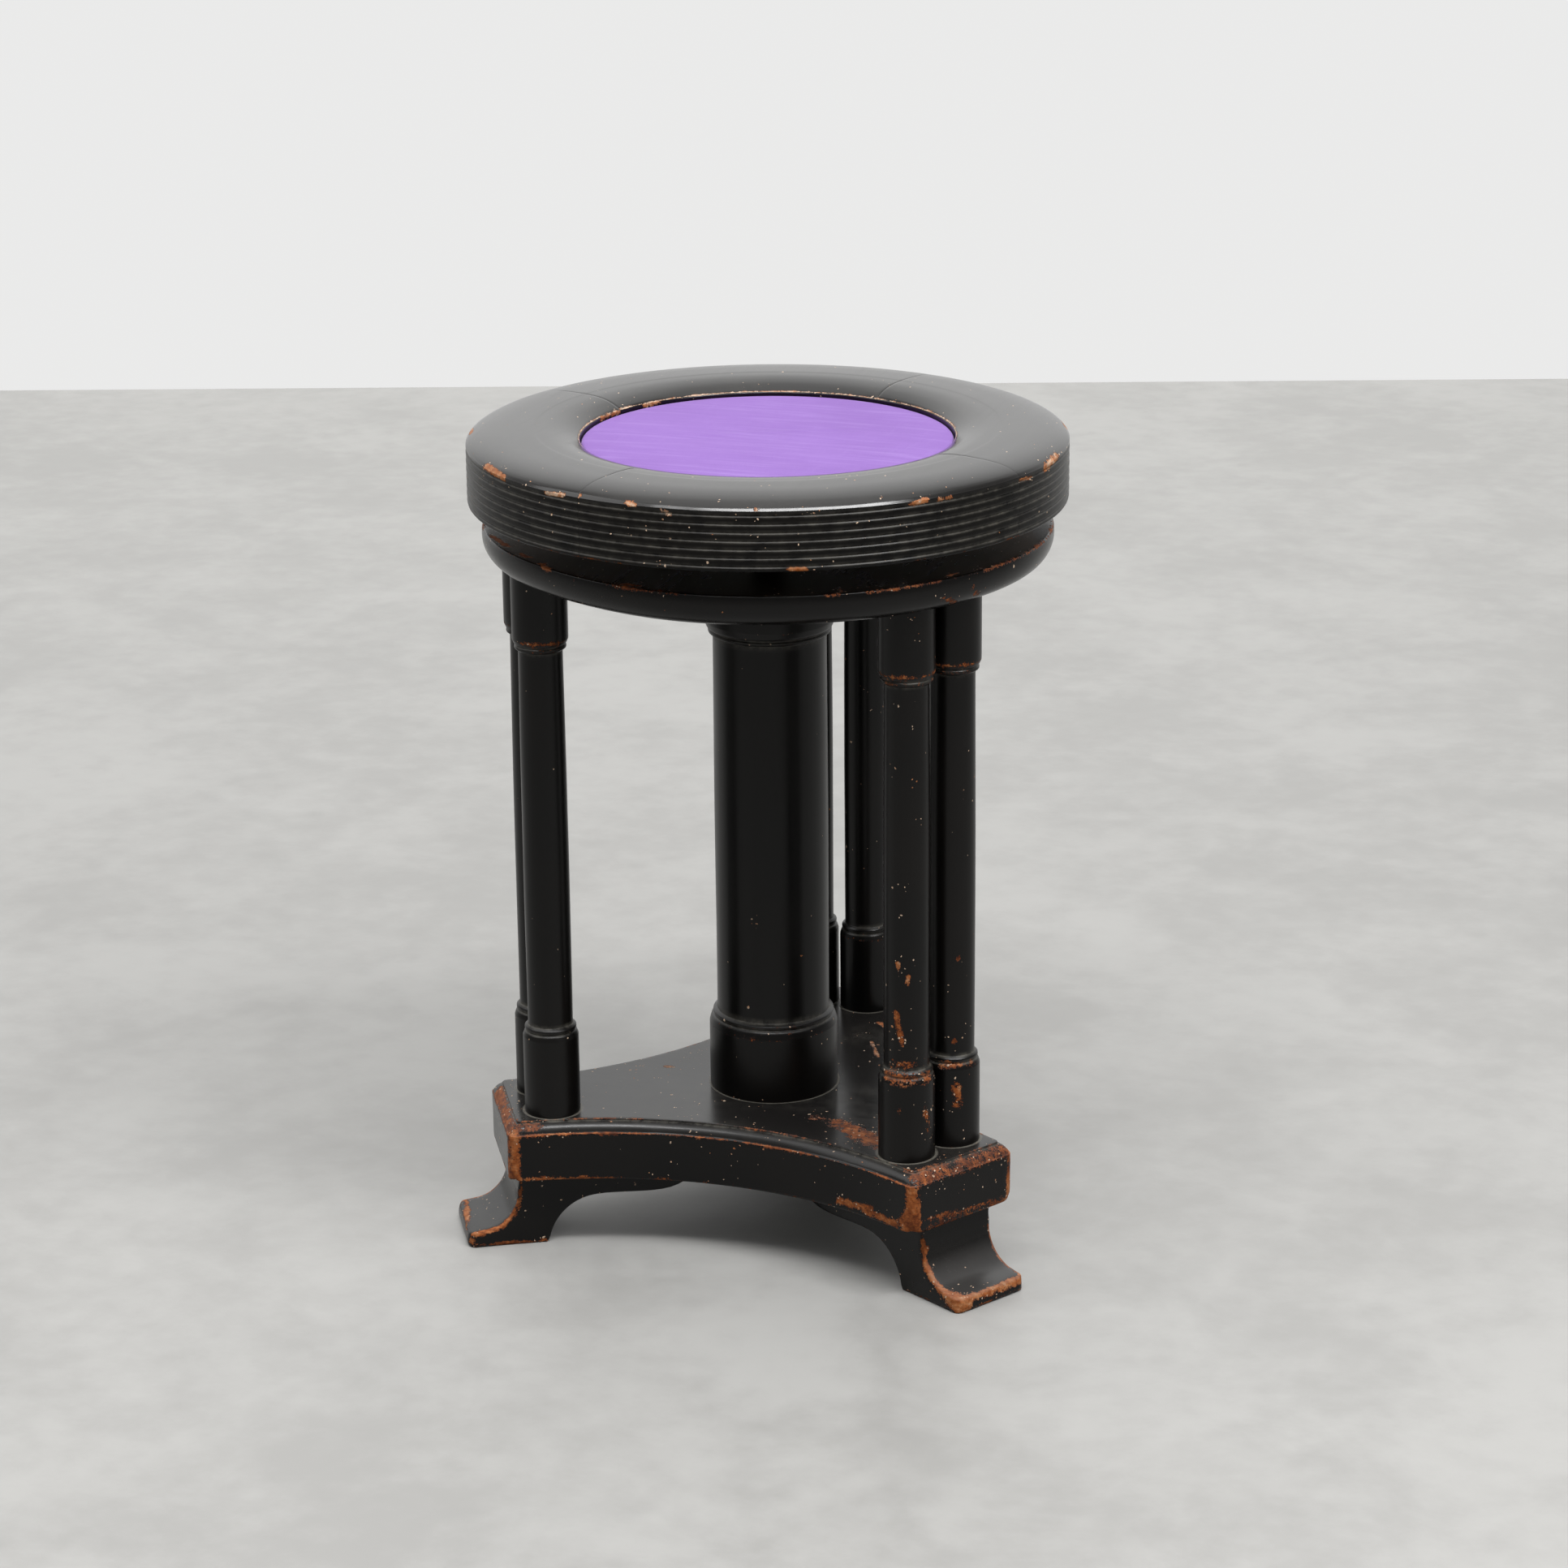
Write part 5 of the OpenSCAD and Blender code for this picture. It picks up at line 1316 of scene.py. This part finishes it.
def panel_cover():
    """One closed sheet a millimetre thick: face, rounded edge, side and the hem turned under the board."""
    place, rise = cover_top()
    peak = max(1e-6, float(np.percentile(np.abs(rise), 98)))
    tree = kdtree.KDTree(len(place))
    for i, p in enumerate(place):
        tree.insert((p[0], p[1], 0), i)
    tree.balance()
    segs = 180
    zt, zb = CLOTH_Z, BOARD_Z1
    path = [(PANEL_R * 0.0 + (PANEL_R - 2.6) * j / 44, zt) for j in range(1, 45)]
    path += [(PANEL_R - 2.0 + 1.9 * math.sin(t), zt - 2.0 + 2.0 * math.cos(t)) for t in np.radians((8, 28, 48, 68, 88))]
    path += [(PANEL_R, zt - 4), (PANEL_R, zt - 6.5), (PANEL_R, zt - 9), (PANEL_R, zt - 12), (PANEL_R, zb + 1.0), (PANEL_R - 0.15, zb + 0.35),
             (PANEL_R - 0.6, zb + 0.02), (PANEL_R - 2, zb), (PANEL_R - 5, zb), (PANEL_R - 9, zb), (PANEL_R - 13, zb), (PANEL_R - 17, zb)]
    outer = np.array(path)
    inner = []
    m = len(outer)
    for i in range(m):
        a = outer[max(0, i - 1)]
        b = outer[min(m - 1, i + 1)]
        t = (b - a) / np.linalg.norm(b - a)
        # Going outwards over the top the solid lies on the right of the path.
        inner.append(outer[i] + np.array([t[1], -t[0]]) * 0.95)
    inner = np.array(inner)
    inner[:, 0] = np.maximum(inner[:, 0], 0.4)
    verts, faces = [], []

    def height(x, y):
        r = math.hypot(x, y)
        if r > PANEL_R - 2.3:
            return 0.0
        near = tree.find_n((x, y, 0), 6)
        ws = [1.0 / (d + 0.6) ** 2 for _, _, d in near]
        up = sum(w * rise[i] for w, (_, i, _) in zip(ws, near)) / sum(ws) / peak
        fade = min(1.0, (PANEL_R - 2.3 - r) / 14.0)
        return max(-0.2, min(1.0, up)) * 0.60 * fade

    # One crease runs across the middle, and a few long shallow waves lie along the weft.
    c0, c1 = Vector((-52.0, -17.0)), Vector((62.0, 44.0))
    axis = (c1 - c0).normalized()
    turn = math.radians(19.3)

    def folds(x, y):
        r = math.hypot(x, y)
        fade = max(0.0, min(1.0, (PANEL_R - 4 - r) / 18.0))
        p = Vector((x, y)) - c0
        along = max(0.0, min((c1 - c0).length, p.dot(axis)))
        off = (p - axis * along).length
        ends = min(1.0, along / 25.0, ((c1 - c0).length - along) / 25.0)
        crease = 0.26 * math.exp(-(off / 3.2) ** 2) * max(0.0, ends)
        v = -x * math.sin(turn) + y * math.cos(turn)
        u = x * math.cos(turn) + y * math.sin(turn)
        waves = 0.07 * math.sin(v / 8.5 + 1.3 * math.sin(u / 47.0)) + 0.05 * math.sin(v / 4.1 + 0.9 * math.sin(u / 31.0) + 1.0)
        return (crease + waves) * fade

    for surface, shell in ((outer, 0), (inner, 1)):
        for r, z in surface:
            for j in range(segs):
                a = 2 * math.pi * j / segs
                x, y = r * math.cos(a), r * math.sin(a)
                lift = height(x, y) + folds(x, y) if z > CLOTH_Z - 1.2 and r < PANEL_R - 2.2 else 0.0
                # The cloth is drawn down a little at its rim.
                drawn = 0.9 * max(0.0, min(1.0, (r - (PANEL_R - 9.0)) / 9.0)) ** 2 if z > CLOTH_Z - 3.2 else 0.0
                verts.append((x, y, z + lift - drawn))
    for j in range(segs):
        j2 = (j + 1) % segs
        for i in range(m - 1):
            faces.append((i * segs + j, (i + 1) * segs + j, (i + 1) * segs + j2, i * segs + j2))
            o = m * segs
            faces.append((o + i * segs + j, o + i * segs + j2, o + (i + 1) * segs + j2, o + (i + 1) * segs + j))
        o = m * segs
        faces.append(((m - 1) * segs + j, o + (m - 1) * segs + j, o + (m - 1) * segs + j2, (m - 1) * segs + j2))
    top, under = len(verts), len(verts) + 1
    lift = height(0, 0) + folds(0, 0)
    verts += [(0, 0, CLOTH_Z + lift), (0, 0, CLOTH_Z - 0.95 + lift)]
    for j in range(segs):
        j2 = (j + 1) % segs
        faces.append((top, j, j2))
        faces.append((under, m * segs + j2, m * segs + j))
    ob = piece("panel_cover_cloth", np.array(verts), faces, "seat", "panel_cover", CLOTH)
    return ob


def panel_pad():
    """A thin felt disc with a soft upper edge and a slightly uneven face."""
    r = PANEL_R - 1.6
    z0, z1 = BOARD_Z1 + 7.0, CLOTH_Z - 1.06
    pts = [(0, z0), (r, z0, 0.8), (r, z1 - 1.6), (r - 0.5, z1 - 0.5, 0.8), (r - 2.2, z1, 1.5), (0, z1)]
    sec, marks = rounded(pts, step=4.0)
    verts, lab, faces, flat = revolve(sec, marks, 120, False)
    rad = np.hypot(verts[:, 0], verts[:, 1])
    top = verts[:, 2] > z1 - 0.6
    verts[top, 2] -= 0.12 * layered(verts[top], 1 / 12.0, 5, 2)
    verts[top, 2] -= 0.9 * np.clip((rad[top] - (PANEL_R - 9.0)) / 9.0, 0, 1) ** 2
    side = (verts[:, 2] < z1 - 0.6) & (rad > r - 1)
    wob = 1 - 0.003 * layered(verts[side], 1 / 8.0, 7, 2)
    verts[side, 0] *= wob
    verts[side, 1] *= wob
    ob = piece("panel_pad_felt", verts, faces, "seat", "panel_pad", FELT)
    return ob


# ---------------------------------------------------------------- build

BLACK_TURNED = [lacquer("black_turned_%s" % c, (1.0, 1.0, 0.05), 0.0, s, rough=0.30) for c, s in (("a", 0.0), ("b", 11.0), ("c", 23.0))]
BLACK_DISC = lacquer("black_disc", (1.0, 0.06, 1.0), 19.3, 31.0, rough=0.22)
BLACK_SEAT = [lacquer("black_seat_%d" % (i + 1), (1.0, 0.07, 1.0), -(JOINT_ANGLE + 45 + 90 * i), 40.0 + 3 * i, rough=0.13, ripple=0.35, ior=1.37) for i in range(4)]
BLACK_PLINTH = lacquer("black_plinth", (0.06, 1.0, 1.0), 0.0, 57.0, rings=collar_rings, rough=0.20)
BLACK_FOOT = [lacquer("black_foot_%d" % (i + 1), (0.07, 1.0, 1.0), -a, 63.0 + 3 * i, rough=0.22) for i, a in enumerate((90, 210, 330))]
IRON = iron("oiled_iron", (0.085, 0.082, 0.078), 0.42)
IRON_SCREW = iron("screw_iron", (0.16, 0.155, 0.145), 0.30, 5.0)
STEEL = steel("aged_steel")
BEECH = bare_wood("beech", 12.0)
PLY = bare_wood("birch_ply", 70.0, (0.44, 0.30, 0.17), (0.28, 0.165, 0.085), 7.0)
CLOTH = cloth("purple_weave")
FELT = felt("wool_felt")

for i, (node, direction) in enumerate((("foot_back", 90), ("foot_left", 210), ("foot_right", 330))):
    foot(node, direction, i)
plinth()
central_column()
for i, node in enumerate(POSTS):
    thin_column(node, i)
top_disc()
ring_segments()
spindle()
panel_pad()
panel_cover()

for node, material in (("foot_screws", STEEL), ("nut_screws", STEEL), ("thread_nut", IRON), ("stop_washer", IRON),
                       ("stop_pin", STEEL), ("seat_flange", IRON), ("flange_pin", STEEL), ("flange_screws", STEEL),
                       ("seat_base_board", BEECH), ("segment_dowels", BEECH), ("ring_screws", STEEL),
                       ("panel_board", PLY), ("cover_tacks", IRON), ("panel_screws", STEEL)):
    me = NODES[node].data
    me.materials.clear()
    me.materials.append(material)

# Floor: it ends where the wall stands in the photograph, behind the stool as the camera sees it.
side = math.radians(19.3)
ahead = Vector((-math.sin(side), math.cos(side), 0))
across = Vector((math.cos(side), math.sin(side), 0))
grid = 24
fverts, ffaces = [], []
for i in range(grid + 1):
    for j in range(grid + 1):
        u = -9.0 + 18.0 * i / grid
        v = -9.0 + (9.0 + 2.31 - 0.0115 * u) * j / grid
        q = across * u + ahead * v
        fverts.append((q.x, q.y, 0.0))
for i in range(grid):
    for j in range(grid):
        a = i * (grid + 1) + j
        ffaces.append((a, a + grid + 1, a + grid + 2, a + 1))
fm = bpy.data.meshes.new("floor")
fm.from_pydata(fverts, [], ffaces)
fm.update()
floor = bpy.data.objects.new("floor", fm)
scene.collection.objects.link(floor)
fm.materials.append(floor_paint("pale_floor"))

world = bpy.data.worlds.new("studio") if scene.world is None else scene.world
scene.world = world
world.use_nodes = True
wn = world.node_tree.nodes
back = next((n for n in wn if n.type == "BACKGROUND"), None)
back.inputs["Strength"].default_value = 3.0
# The wall behind the stool is bright and brighter higher up, the ceiling is brightest, and the rest of the room is
# dim. Values are thirds of what the world gives off, by the sine of the height above the horizon.
BEHIND = [(0.0, 0.825), (0.06, 0.98), (0.34, 1.40), (0.64, 1.75), (0.80, 2.50), (1.0, 2.55)]
ROOM = [(0.0, 0.25), (0.62, 0.27), (0.78, 0.56), (0.90, 2.00), (1.0, 2.55)]
wt = world.node_tree
way = wt.nodes.new("ShaderNodeTexCoord")
dot = wt.nodes.new("ShaderNodeVectorMath")
dot.operation = "DOT_PRODUCT"
dot.inputs[1].default_value = (ahead.x, ahead.y, 0.0)
spread = wt.nodes.new("ShaderNodeMapRange")
spread.interpolation_type = "SMOOTHSTEP"
spread.inputs["From Min"].default_value = 0.30
spread.inputs["From Max"].default_value = 0.80
lift = wt.nodes.new("ShaderNodeSeparateXYZ")
tone = wt.nodes.new("ShaderNodeMix")
tone.data_type = "RGBA"
wt.links.new(way.outputs["Generated"], dot.inputs[0])
wt.links.new(way.outputs["Generated"], lift.inputs[0])
wt.links.new(dot.outputs["Value"], spread.inputs["Value"])
wt.links.new(spread.outputs["Result"], tone.inputs[0])
for slot, table in ((6, ROOM), (7, BEHIND)):
    ramp = wt.nodes.new("ShaderNodeValToRGB")
    els = ramp.color_ramp.elements
    while len(els) < len(table):
        els.new(0.5)
    for el, (x, v) in zip(els, table):
        el.position, el.color = x, (v / 3, v / 3, v * 0.995 / 3, 1.0)
    wt.links.new(lift.outputs["Z"], ramp.inputs["Fac"])
    wt.links.new(ramp.outputs["Color"], tone.inputs[slot])
wt.links.new(tone.outputs[2], back.inputs["Color"])


def beside(x, y, z):
    """A place given as metres to the camera's right, metres towards the camera and height."""
    q = across * x - ahead * y
    return (q.x, q.y, z)


area_light("left_bank", (2.0, 2.0), beside(-2.6, 0.0, 2.6), (0, 0, 0.3), 35.0)
area_light("right_bank", (1.05, 1.05), beside(1.7, 1.35, 2.6), (0, 0, 0.3), 48.0)
area_light("top_bank", (2.3, 0.34), beside(0.1, 1.34, 3.0), (0, 0, 0.5), 82.0)
area_light("top_bank_right", (0.5, 0.5), beside(1.45, 1.04, 3.0), (0, 0, 0.5), 22.0)
area_light("top_bank_left", (0.5, 0.5), beside(-1.35, 1.08, 3.0), (0, 0, 0.5), 8.0)

make_camera()
scene.view_settings.view_transform = "Standard"
scene.view_settings.look = "None"
scene.view_settings.exposure = 0.0
scene.view_settings.gamma = 1.0
